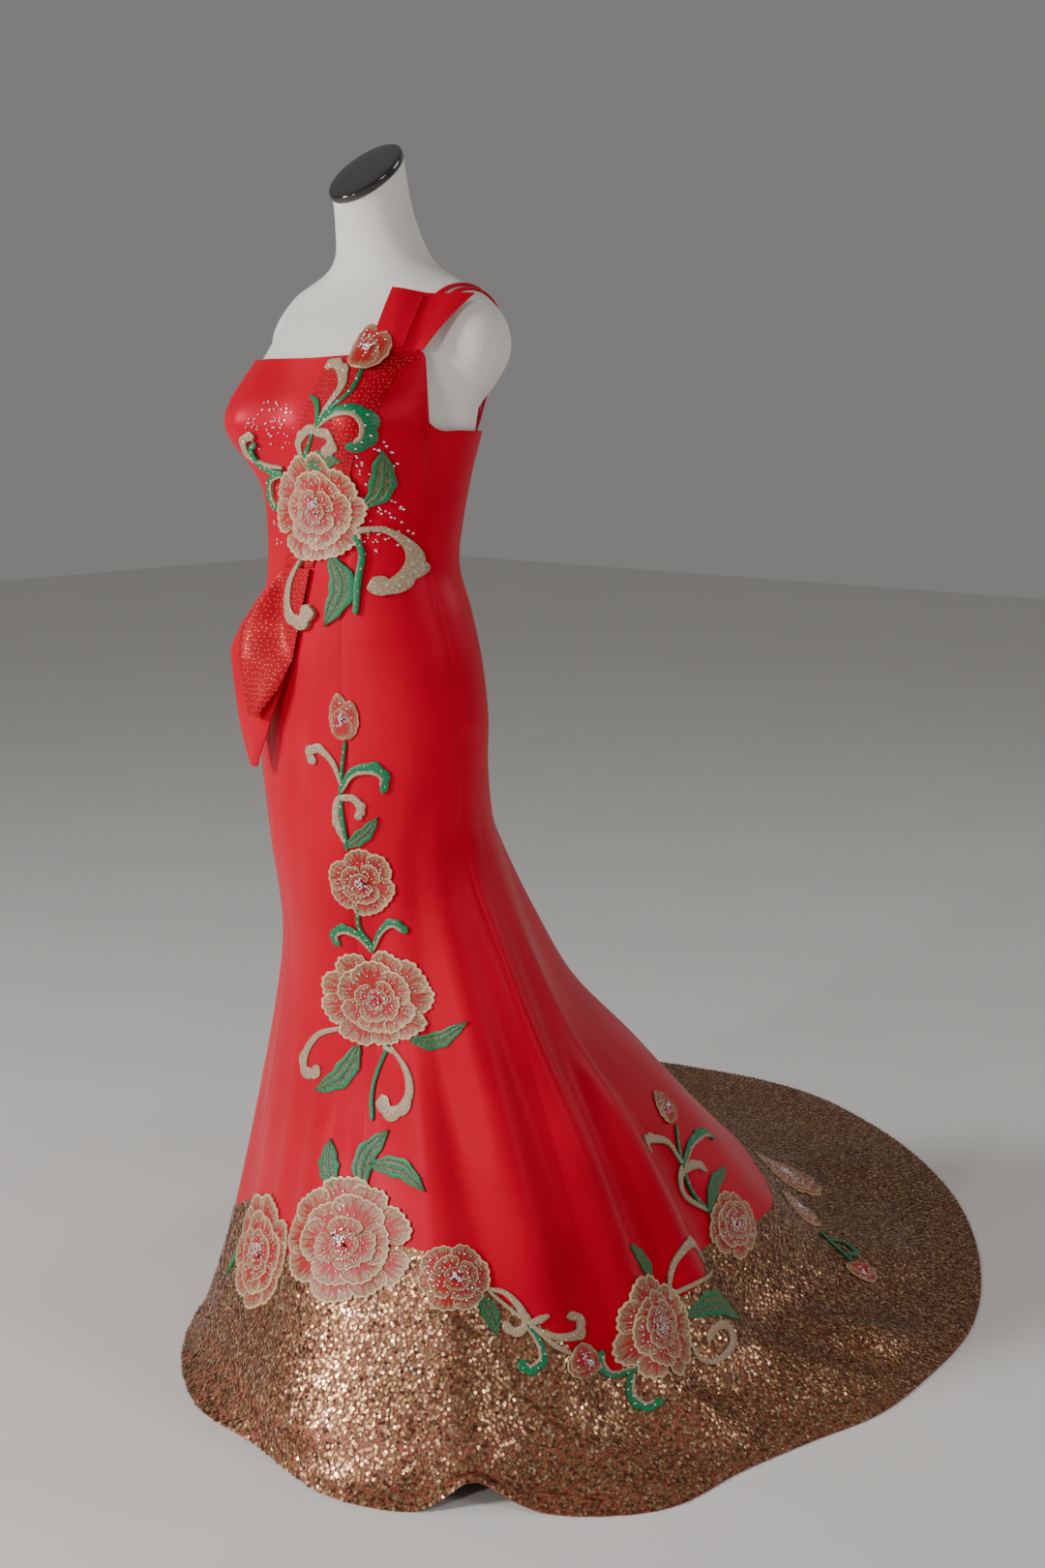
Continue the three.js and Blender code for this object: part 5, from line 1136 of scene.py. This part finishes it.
def strip(piece, ground, path, widths, base, kind):
    """A stitched strip along a route: rounded across, with lobes outside a scroll or a wavy leaf's edge."""
    middle, side, run = flat_route(path, max(20, int(len(path) * 9)))
    s = np.linspace(0, 1, len(middle))
    wide = np.interp(s, WIDTH_STOPS, widths) / 2
    ahead = np.gradient(middle, axis=0)
    bend = np.sign((ahead[:-1, 0] * ahead[1:, 1] - ahead[:-1, 1] * ahead[1:, 0]).sum())
    inner, outer = wide, wide
    if kind == "leaf":
        wide = 0.06 + 0.94 * np.sin(math.pi * s**0.85) ** 0.9
        wide = wide * np.clip((1 - s) / 0.05, 0.1, 1) * max(widths) / 2
        inner, outer = wide * (1 + 0.09 * np.sin(s * 19)), wide * (1 + 0.09 * np.sin(s * 24 + 1))
    if kind in ("scroll", "crescent"):
        lobes = np.abs(np.sin(math.pi * np.clip(s - 0.55, 0, 1) / 0.15)) ** 0.7
        tip = np.sqrt(np.clip((1.0 - s) / 0.05, 0.02, 1))
        inner, outer = wide * tip, wide * tip * (0.78 + 0.5 * lobes)
    if kind in ("stem", "cord"):
        inner = outer = wide * np.sqrt(np.clip(np.minimum(s, 1 - s) / 0.03, 0.05, 1))
    across = np.linspace(-1, 1, 11)
    reach = np.where(across[None, :] * bend > 0, inner[:, None], outer[:, None]) * across
    x = middle[:, 0, None] + side[:, 0, None] * reach
    y = middle[:, 1, None] + side[:, 1, None] * reach
    round_top = np.sqrt(np.clip(1 - across**2 * 0.97, 0, 1))[None, :]
    relief = STITCH
    if kind == "leaf":
        rim = bell((np.abs(across) - 0.8) / 0.2)[None, :] + 0.9 * bell(across / 0.14)[None, :]
        relief = STITCH * (0.45 + 0.55 * np.minimum(rim, 1))
    height = base + relief * (0.35 + 0.65 * round_top) + 0 * x
    uv = np.stack(np.broadcast_arrays(across[None, :], run[:, None] / 1000), -1)
    lay(piece, ground, x, y, height, LEAST_LIFT, uv, SLOT_OF_KIND[kind])
    if kind == "crescent":
        offset = side * (bend * inner * 0.75)[:, None]
        cord = (middle + offset)[:: max(1, len(middle) // 9)]
        strip(piece, ground, cord, (2.5, max(widths) * 0.32, 3), base + 0.5, "cord")


PETAL_RINGS = [0, 0.18, 0.4, 0.62, 0.8, 0.9, 0.93, 0.96, 1]


def petal(piece, ground, at, facing, spread, reach, base, seed, stretch):
    """A petal: a fan from its foot whose outer edge has small lobes and a raised cord."""
    rng = np.random.default_rng(seed)
    turn, out = np.meshgrid(np.linspace(-1, 1, 27), PETAL_RINGS)
    lobes = max(2, round(2 * spread * reach * min(stretch) / 8.5))
    scallop = 0.07 * np.abs(np.sin(lobes * math.pi * (turn + 1) / 2)) + 0.03 * np.sin(5 * turn + seed)
    shoulder = np.clip(1 - np.abs(turn) ** 3.4, 0, 1) ** 0.45
    radius = reach * (0.12 + 0.88 * out * (0.45 + 0.55 * shoulder) * (1 + scallop * out))
    angle = facing + spread * turn * (0.7 + 0.3 * out)
    x, y = at[0] + stretch[0] * radius * np.cos(angle), at[1] + stretch[1] * radius * np.sin(angle)
    cup = 0.9 * out**1.5 + 0.35 * np.sin(3 * turn + rng.uniform(0, 6)) * out
    height = base + cup + 0.6 * bell((out - 0.95) / 0.035) - 0.7 * np.abs(turn) ** 4
    lay(piece, ground, x, y, height, max(base - 1.2, LEAST_LIFT), np.stack([turn, out], -1), PETAL)


# A bud's petals: lean, length, half width and lift
BUD = [(0.13, 2.05, 0.74, 0.2), (-0.2, 1.78, 0.76, 0.8), (0.1, 1.4, 0.72, 1.5)]


def bud_petal(piece, ground, own, base):
    """A bud's petal: an egg from its foot to a soft point, its width sin(pi t^0.8)^0.55 with a wavy edge."""
    x0, y0, way, long, broad = own
    across, along = np.meshgrid(np.linspace(-1, 1, 19), np.linspace(0, 1, 21))
    wide = broad * np.sin(math.pi * along**0.8) ** 0.55 * (1 + 0.04 * np.cos(along * 26))
    forward, aside = long * along, wide * across
    x = x0 + forward * math.cos(way) - aside * math.sin(way)
    y = y0 + forward * math.sin(way) + aside * math.cos(way)
    edge = np.maximum(np.abs(across), 2 * np.abs(along - 0.5)) ** 1.3
    height = base + 1.3 * np.sqrt(np.clip(1 - across**2, 0, 1)) + 0.5 * bell((edge - 0.9) / 0.08)
    uv = np.stack([across, 0.3 + 0.7 * edge], -1)
    lay(piece, ground, x, y, height, max(base - 0.6, LEAST_LIFT), uv, PETAL)


def petal_crystals(at, facing, spread, reach, stretch, rng, count):
    """Places for crystals over a petal, in an arc inside its edge."""
    turn = np.linspace(-0.75, 0.75, count) + rng.uniform(-0.08, 0.08, count)
    radius = reach * rng.uniform(0.5, 0.8, count)
    angle = facing + spread * turn
    return at[0] + stretch[0] * radius * np.cos(angle), at[1] + stretch[1] * radius * np.sin(angle)


CUT = ((0.42, -0.2), (0.5, 0.12), (0.3, 0.36))  # a stone's hexagons: radius and rise, in its sizes


def crystals(piece, ground, x, y, height, size, slot=CRYSTAL):
    """Cut stones: a hexagon, a smaller one above it and a flat table, one at each place."""
    n = len(x)
    size = size * (0.75 + 0.45 * np.modf(np.abs(x * 7.31 + y * 3.17))[0])[:, None]
    rings = []
    for radius, rise in CUT:
        px = x[:, None] + radius * size * np.cos(HEXAGON)
        py = y[:, None] + radius * size * np.sin(HEXAGON)
        rings.append(ground.at(px, py, np.broadcast_to(height, n)[:, None] + rise * size + 0 * px))
    points = np.stack(rings, 1).reshape(n, 18, 3)
    k = np.arange(6)
    ahead = (k + 1) % 6
    sides = [np.stack([k + 6 * r, ahead + 6 * r, ahead + 6 * r + 6, k + 6 * r + 6], -1) for r in (0, 1)]
    top = np.array([[12, 13, 14, 15], [12, 15, 16, 17]])
    bottom = np.array([[3, 2, 1, 0], [5, 4, 3, 0]])
    one = np.concatenate([*sides, top, bottom])
    faces = (np.arange(n)[:, None, None] * 18 + one[None]).reshape(-1, 4)
    piece.add(points, faces, np.zeros((n * 18, 2)), slot)


def scattered(count, wide, high, at, seed):
    """Random places in an ellipse, thicker towards its middle."""
    rng = np.random.default_rng(seed)
    turn, out = rng.uniform(0, 2 * math.pi, count), rng.uniform(0, 1, count) ** 0.7
    return at[0] + wide * out * np.cos(turn), at[1] + high * out * np.sin(turn)


def crystal_size():
    return bpy.context.scene.gown_sizes.crystal * 1000


# A peony's rings: petals, where they start and how far they reach, lift, and crystals on each
LARGE = [(9, 0.24, 0.76, 0.3, 5), (6, 0.1, 0.6, 1.2, 8), (4, 0.02, 0.42, 2.1, 8), (2, 0.0, 0.22, 2.8, 5)]
SMALL = [(6, 0.2, 0.8, 0.3, 6), (4, 0.05, 0.6, 1.2, 7), (2, 0.0, 0.34, 2.0, 5)]
SMALL_WIDTH = 45


def flower(ground, node, x, y, wide, high, base, seed, facing=90):
    """A peony: rings of petals round an off-centre heart, each ring higher; a bud is three upright petals."""
    piece = Piece(node + "_stitched")
    rng = np.random.default_rng(seed)
    size, stretch = crystal_size(), (wide, high)
    stones = []
    if "bud" in node:
        way = math.radians(facing)
        foot = (x - 0.95 * wide * math.cos(way), y - 0.95 * high * math.sin(way))
        for lean, long, broad, lift in BUD:
            to, long, broad = way + lean, long * high, broad * wide
            bud_petal(piece, ground, (*foot, to, long, broad), base + lift)
            middle = (foot[0] + 0.55 * long * math.cos(to), foot[1] + 0.55 * long * math.sin(to))
            stones.append((scattered(12, broad * 0.7, long * 0.36, middle, seed), base + lift + 1.2))
    else:
        heart = (x + wide * rng.uniform(-0.12, 0.12), y - high * rng.uniform(0.0, 0.16))
        rings = SMALL if wide < SMALL_WIDTH else LARGE
        petals = []
        for ring, (count, inner, reach, lift, many) in enumerate(rings):
            start, share = rng.uniform(0, 6.28), ring / len(rings)
            cx, cy = x * (1 - share) + heart[0] * share, y * (1 - share) + heart[1] * share
            for k in range(count):
                way = start + 2 * math.pi * (k + rng.uniform(-0.16, 0.16)) / count
                foot = (cx + wide * inner * math.cos(way), cy + high * inner * math.sin(way))
                far = min(reach * rng.uniform(0.9, 1.08), 1.0 - inner if ring == 0 else 9)
                spread = math.pi / count * rng.uniform(1.35, 1.75) * (0.75 if count < 5 else 1.15)
                low, own = base + lift + 0.25 * (k % 2), seed * 50 + ring * 10 + k
                petals.append((foot, way, spread, far, low, own, many))
        for foot, way, spread, reach, low, own, many in petals:
            petal(piece, ground, foot, way, spread, reach, low, own, stretch)
            stones.append((petal_crystals(foot, way, spread, reach, stretch, rng, many), low + 1.0))
    for places, lift in stones:
        crystals(piece, ground, *places, lift, size * 0.8)
    heart = scattered(int(6 + wide * 0.3), wide * 0.2, high * 0.2, (x, y), seed + 1)
    crystals(piece, ground, *heart, base + 4.2, size)
    piece.make([material(n) for n in EMBROIDERY], [node], "gold_embroidery", sharp=50)


def spray(ground, node, strips, base, slot):
    """A spray: stems, crescents, leaves and scrolls of stitch, with crystals along the stems."""
    piece = Piece(node + "_stitched")
    jewelled = len(strips) > 1 and "low" not in node
    for k, (kind, path, widths) in enumerate(strips):
        low = base + 0.3 * (k % 3)
        strip(piece, ground, path, widths, low, kind)
        if jewelled and kind in ("stem", "crescent", "scroll"):
            middle, side, run = flat_route(path, max(4, int(len(path) * 2.2)))
            wide = np.interp(np.linspace(0, 1, len(run)), WIDTH_STOPS, widths)
            off = np.where(np.arange(len(run)) % 2, 0.18, -0.18) * wide * (wide > 6)
            px, py = (middle + side * off[:, None])[1:-1].T
            crystals(piece, ground, px, py, low + STITCH, crystal_size() * 0.75)
    piece.make([material(n) for n in EMBROIDERY], [node] if node in NODES else (), slot, sharp=50)


# Flowers: name, middle x and y, half width and half height, and for a bud the way it faces.
# Each strip is a kind, its path and its widths at the start, a little past the middle and the end.
GROUPS = {  # anchor, height above the cloth, flowers
    "bodice": ((-76, 4.7), 2.9, [("peony", -6, -2, 60, 61), ("bud", 60, 170, 19, 26, 84)]),
    "skirt": ((-52, 11.22), 1.0, [("bud", -16, 194, 19, 26), ("peony_small", 0, 0, 39, 39)]),
    "skirt_low": ((-44, 12.47), 1.0, [("peony", -2, 3, 70, 58)]),
    "hem": ((-51, 15.02), 1.8, [("peony_front", -20, 2, 86, 71)]),
    "hem_right": ((-101, 15.62), 1.8, [("peony", -8, -2, 76, 66)]),
    "hem_left": ((-28, 15.23), 1.8, [("peony", 1, 0, 40, 38), ("bud", 149, -99, 24, 20, -30)]),
    "side": ((10, 16.22), 1.8, [("peony", 4, 1, 58, 62)]),
    "side_up": ((45, 15.85), 1.8, [("peony", 0, 5, 56, 42), ("bud", -28, 176, 30, 22, 96)]),
    "train": ((81, 17), 1.8, [("peony", 0, 0, 62, 54)]),
    "train_side": ((69, 16.75), 1.8, [("peony", 0, 0, 44, 36)]),
    "train_end": ((60, 17.2), 1.8, [("bud", -46, -30, 26, 20, 210)]),
}
SPRAYS = {
    ("bodice", "vine"): [
        ("stem", [(61, 150), (58, 120), (32, 100), (9, 84), (-24, 50)], (4, 5, 6)),
        ("scroll", [(27, 97), (47, 124), (41, 143), (23, 155), (7, 151)], (5, 13, 9)),
        ("curl", [(20, 88), (13, 109), (-8, 120)], (10, 9, 3)),
        ("crescent", [(18, 88), (52, 103), (71, 104), (80, 90), (74, 72), (57, 67)], (8, 14, 8)),
        ("scroll", [(18, 84), (-7, 84), (-26, 71), (-24, 53)], (10, 12, 6)),
        ("scroll", [(14, 82), (40, 80), (40, 68), (20, 60)], (9, 12, 9)),
        ("leaf", [(-24, 49), (4, 50), (28, 54), (44, 52)], (7, 21, 3)),
    ],
    ("bodice", "leaf_right"): [("leaf", [(50, 0), (68, 19), (85, 64)], (8, 20, 3))],
    ("bodice", "curl_left"): [
        ("scroll", [(-58, 41), (-84, 45), (-103, 56), (-103, 72), (-88, 77)], (4, 8, 8)),
        ("stem", [(-58, 35), (-78, 38), (-94, 50), (-96, 63), (-87, 68)], (5, 8, 5)),
        ("crescent", [(-58, 34), (-76, 30), (-84, 18), (-80, 2), (-66, -8)], (5, 12, 5)),
    ],
    ("bodice", "scroll_right"): [
        (
            "scroll", [(45, -24), (70, -25), (86, -40), (90, -60), (83, -80), (70, -90), (58, -79)],
            (5, 13, 20),
        ),
        ("stem", [(40, -31), (47, -52), (44, -83), (43, -121)], (6, 7, 6)),
        ("cord", [(40, -30), (48, -26), (56, -25)], (6, 6, 6)),
    ],
    ("bodice", "leaf_low"): [("leaf", [(14, -56), (27, -92), (7, -136)], (10, 29, 4))],
    ("bodice", "scroll_left"): [
        ("scroll", [(-24, -62), (-40, -88), (-45, -114), (-36, -130), (-20, -131), (-13, -112)], (4, 13, 17)),
    ],
    ("skirt", "vine"): [
        ("stem", [(-14, 168), (-19, 137), (-22, 105), (-21, 77), (-16, 38)], (4, 5, 6)),
        ("scroll", [(-21, 118), (-30, 141), (-46, 155), (-60, 150), (-54, 136)], (5, 10, 10)),
        ("crescent", [(-22, 108), (-8, 131), (14, 138), (30, 129), (28, 108)], (6, 15, 7)),
        ("scroll", [(-12, 102), (-25, 98), (-29, 76), (-17, 46)], (9, 10, 5)),
        ("scroll", [(-22, 101), (-6, 101), (2, 90), (-3, 76)], (8, 11, 8)),
        ("leaf", [(-17, 42), (6, 60), (21, 80)], (7, 17, 3)),
    ],
    ("skirt", "curls"): [
        ("stem", [(-6, -32), (-5, -55), (7, -72), (12, -84)], (5, 5, 6)),
        ("crescent", [(11, -82), (-4, -65), (-24, -58), (-37, -68), (-29, -79)], (5, 12, 7)),
        ("crescent", [(11, -80), (22, -56), (38, -46), (55, -56)], (5, 10, 8)),
    ],
    ("skirt_low", "leaf_right"): [("leaf", [(48, -40), (80, -36), (110, -12)], (8, 20, 3))],
    ("skirt_low", "scroll_left"): [
        ("scroll", [(-46, -37), (-75, -48), (-94, -70), (-97, -92), (-82, -97), (-70, -86)], (6, 11, 14)),
    ],
    ("skirt_low", "leaf_left"): [("leaf", [(-20, -54), (-38, -92), (-74, -116)], (10, 27, 5))],
    ("skirt_low", "scroll_right"): [
        ("scroll", [(23, -50), (47, -72), (56, -99), (46, -120), (27, -125), (16, -107)], (5, 13, 18)),
        ("stem", [(19, -48), (6, -82), (3, -110), (8, -138)], (6, 5, 6)),
        ("cord", [(12, -52), (20, -54), (30, -56)], (6, 6, 6)),
    ],
    ("hem", "leaf_front"): [("leaf", [(-49, 60), (-60, 86), (-62, 114)], (12, 26, 4))],
    ("hem", "leaves_front"): [
        ("leaf", [(-13, 62), (-14, 100), (11, 134)], (10, 27, 16)),
        ("leaf", [(-8, 92), (36, 92), (70, 71)], (12, 24, 4)),
    ],
    ("hem_right", "leaf"): [("leaf", [(-72, -22), (-92, -40), (-98, -66)], (6, 17, 3))],
    ("hem_left", "leaf"): [("leaf", [(28, -22), (40, -42), (46, -66)], (8, 20, 4))],
    ("hem_left", "vine"): [
        ("scroll", [(36, -13), (59, -19), (76, -38), (80, -56), (66, -62), (55, -50)], (5, 10, 10)),
        ("cord", [(38, -15), (65, -38), (88, -57), (111, -79), (130, -90)], (4, 5, 5)),
        ("cord", [(84, -54), (96, -50), (106, -46)], (6, 9, 4)),
        ("crescent", [(80, -52), (94, -73), (98, -93), (84, -104), (70, -95)], (6, 9, 12)),
        ("scroll", [(90, -60), (116, -71), (140, -68), (142, -50), (126, -48)], (5, 12, 8)),
    ],
    ("side", "leaf_up"): [("leaf", [(32, 46), (28, 74), (5, 103)], (9, 22, 4))],
    ("side", "scroll"): [
        ("scroll", [(50, 26), (70, 54), (103, 62), (127, 46), (132, 26)], (5, 13, 9)),
        ("cord", [(48, 22), (95, 16), (150, 9)], (6, 5, 4)),
        ("cord", [(46, 18), (52, 24), (54, 34)], (6, 6, 6)),
    ],
    ("side", "leaf_right"): [("leaf", [(58, -9), (108, -18), (151, -57)], (12, 30, 5))],
    ("side", "spiral"): [
        (
            "scroll", [(49, -40), (50, -62), (68, -74), (98, -67), (104, -48), (84, -40), (68, -50)],
            (5, 11, 8),
        ),
    ],
    ("side", "curls"): [
        ("crescent", [(-44, -25), (-66, -18), (-70, -1), (-63, 12)], (7, 10, 7)),
        ("crescent", [(-50, -27), (-61, -49), (-57, -67), (-42, -68)], (7, 10, 8)),
    ],
    ("side_up", "vine"): [
        ("stem", [(-26, 150), (-46, 127), (-57, 103), (-59, 70), (-40, 35)], (5, 6, 6)),
        ("scroll", [(-57, 108), (-66, 138), (-97, 153), (-126, 154), (-124, 140)], (6, 12, 10)),
        ("crescent", [(-58, 104), (-10, 121), (46, 119), (66, 104)], (8, 14, 8)),
        ("scroll", [(-44, 40), (-78, 72), (-66, 97), (-24, 94), (-8, 80)], (6, 12, 10)),
        ("leaf", [(-44, 36), (-4, 60), (50, 68)], (8, 20, 4)),
    ],
    ("train_end", "vine"): [
        ("stem", [(34, 30), (8, 12), (-24, -16)], (5, 7, 5)),
        ("curl", [(18, 20), (30, -4), (6, -22), (-8, -8)], (6, 9, 8)),
    ],
}
OVER = {"bodice_scroll_left": 6.2, "bodice_bud": 7.9}  # heights over the tail and over the flap
GROUNDS = {}


def ground_of(name):
    """The ground of a group, wide enough for all its flowers and strips."""
    if name not in GROUNDS:
        anchor, _, flowers = GROUPS[name]
        corners = ((-1, -1), (1, 1))
        places = [(x + a * w, y + b * h) for _, x, y, w, h, *_ in flowers for a, b in corners]
        own = [strips for (group, _), strips in SPRAYS.items() if group == name]
        places += [place for strips in own for _, path, _ in strips for place in path]
        low, high = np.min(places, axis=0) - 22, np.max(places, axis=0) + 22
        GROUNDS[name] = Ground(anchor, (low[0], high[0], low[1], high[1]))
    return GROUNDS[name]


class GOWN_OT_flowers(bpy.types.Operator):
    """Makes the embroidered peonies and buds"""

    bl_idname = "gown.flowers"
    bl_label = "Peonies and buds"

    def execute(self, context):
        for k, (name, (_, base, flowers)) in enumerate(GROUPS.items()):
            for m, (flower_name, x, y, wide, high, *facing) in enumerate(flowers):
                node = f"{name}_{flower_name}"
                low = OVER.get(node, base)
                flower(ground_of(name), node, x, y, wide, high, low, SEED + 10 * k + m, *facing)
        return {"FINISHED"}


class GOWN_OT_sprays(bpy.types.Operator):
    """Makes the embroidered leaves, curls, stems and scrolls"""

    bl_idname = "gown.sprays"
    bl_label = "Leaves and scrolls"

    def execute(self, context):
        for (name, spray_name), strips in SPRAYS.items():
            node = f"{name}_{spray_name}"
            slot = "gold_embroidery" if strips[0][0] in ("scroll", "cord") else "green_embroidery"
            spray(ground_of(name), node, strips, OVER.get(node, GROUPS[name][1]), slot)
        return {"FINISHED"}


# Middle x and y, half width and height, and how many
LOOSE = [(-66, 86, 34, 30, 58), (70, 20, 24, 84, 64), (60, -34, 22, 34, 24), (-70, -20, 14, 44, 12)]


class GOWN_OT_crystals(bpy.types.Operator):
    """Scatters loose crystals between the flowers"""

    bl_idname = "gown.crystals"
    bl_label = "Loose crystals"

    def execute(self, context):
        piece = Piece("crystals_bodice")
        for k, (x, y, wide, high, count) in enumerate(LOOSE):
            places = scattered(count, wide, high, (x, y), SEED + 100 + k)
            crystals(piece, ground_of("bodice"), *places, 0.6, crystal_size() * 0.85, 0)
        piece.make([material("crystal")], slot="gold_embroidery", sharp=50)
        return {"FINISHED"}


# Stage
CAMERA = {  # its own directions right, up and back, and its place
    "turn": ((0.7542, 0.6566, 0.0), (-0.1219, 0.1400, 0.9826), (0.6452, -0.7411, 0.1856)),
    "place": (1.8245, -1.8245, 1.216), "lens": 50, "sensor": 36,
}
LIGHTS = [  # name, place, aim, size, power
    ("key_light", (-1.5, -3.3, 2.1), (0, 0, 0.8), 0.9, 125),
    ("spark_light", (0.6, -3.8, 1.5), (0.2, 0, 0.4), 0.25, 38),
    ("fill_light", (3.5, 0.5, 2.0), (0, 0, 0.8), 1.0, 20),
    ("rim_light", (2.2, 3.4, 2.6), (0, 0.2, 0.8), 1.6, 22),
]
SKY = {"Color": (0.95, 0.93, 0.9, 1), "Strength": 0.22}
FLOOR = {"half": 9, "tones": ((0.8, 0.78, 0.75), (0.84, 0.82, 0.79))}


def staged(name, data, right, up, away, place):
    """Adds an object of the stage whose own directions are right, up and away."""
    made = bpy.data.objects.new(name, data)
    bpy.context.scene.collection.objects.link(made)
    rows = zip(np.stack([right, up, away], 1).tolist(), place)
    made.matrix_world = Matrix([[*row, at] for row, at in rows] + [[0, 0, 0, 1]])
    return made


def area_light(name, place, aim, size, power):
    light = bpy.data.lights.new(name, "AREA")
    light.shape, light.size, light.energy = "DISK", size, power
    away = unit(np.array(place, float) - np.array(aim, float))
    right = unit(np.cross([0, 0, 1.0], away))
    staged(name, light, right, np.cross(away, right), away, place)


class GOWN_OT_stage(bpy.types.Operator):
    """Sets the camera, the lights and a pale floor"""

    bl_idname = "gown.stage"
    bl_label = "Stage"

    def execute(self, context):
        scene = context.scene
        camera = bpy.data.cameras.new("camera")
        camera.lens, camera.sensor_width = CAMERA["lens"], CAMERA["sensor"]
        scene.camera = staged("camera", camera, *CAMERA["turn"], CAMERA["place"])
        for row in LIGHTS:
            area_light(*row)
        world = scene.world or bpy.data.worlds.new("world")
        scene.world = world
        world.use_nodes = True
        for key, value in SKY.items():
            world.node_tree.nodes["Background"].inputs[key].default_value = value
        mesh, half = bpy.data.meshes.new("floor"), FLOOR["half"]
        corners = [(-half, -half, 0), (half, -half, 0), (half, half, 0), (-half, half, 0)]
        mesh.from_pydata(corners, [], [(0, 1, 2, 3)])
        m = Shader("pale_floor", Specular_IOR_Level=0.2)
        grain = m.noise(m.place(), 3.0)
        tone = m.mix(grain, *FLOOR["tones"])
        mesh.materials.append(m.feed(Base_Color=tone, Roughness=0.7 + grain * 0.1))
        staged("floor", mesh, *np.eye(3), (0, 0, 0))
        return {"FINISHED"}


STEPS = [
    GOWN_OT_form, GOWN_OT_panels, GOWN_OT_band, GOWN_OT_sash, GOWN_OT_shoulder, GOWN_OT_flowers,
    GOWN_OT_sprays, GOWN_OT_crystals, GOWN_OT_stand, GOWN_OT_stage,
]


class GOWN_PT_panel(bpy.types.Panel):
    """Lists the gown's settings and steps"""

    bl_idname = "GOWN_PT_panel"
    bl_label = "Gown"
    bl_space_type = "VIEW_3D"
    bl_region_type = "UI"
    bl_category = "Gown"

    def draw(self, context):
        for group in (context.scene.gown_sizes, context.scene.gown_colours):
            box = self.layout.box()
            for key in group.__annotations__:
                box.prop(group, key)
        for step in STEPS:
            self.layout.operator(step.bl_idname)


CLASSES = [GownColours, GownSizes, *STEPS, GOWN_PT_panel]


def register():
    for kind in CLASSES:
        bpy.utils.register_class(kind)
    bpy.types.Scene.gown_colours = bpy.props.PointerProperty(type=GownColours)
    bpy.types.Scene.gown_sizes = bpy.props.PointerProperty(type=GownSizes)


def unregister():
    del bpy.types.Scene.gown_sizes
    del bpy.types.Scene.gown_colours
    for kind in reversed(CLASSES):
        bpy.utils.unregister_class(kind)


def main():
    register()
    for step in STEPS:
        group, name = step.bl_idname.split(".")
        getattr(getattr(bpy.ops, group), name)()


if __name__ == "__main__":
    main()
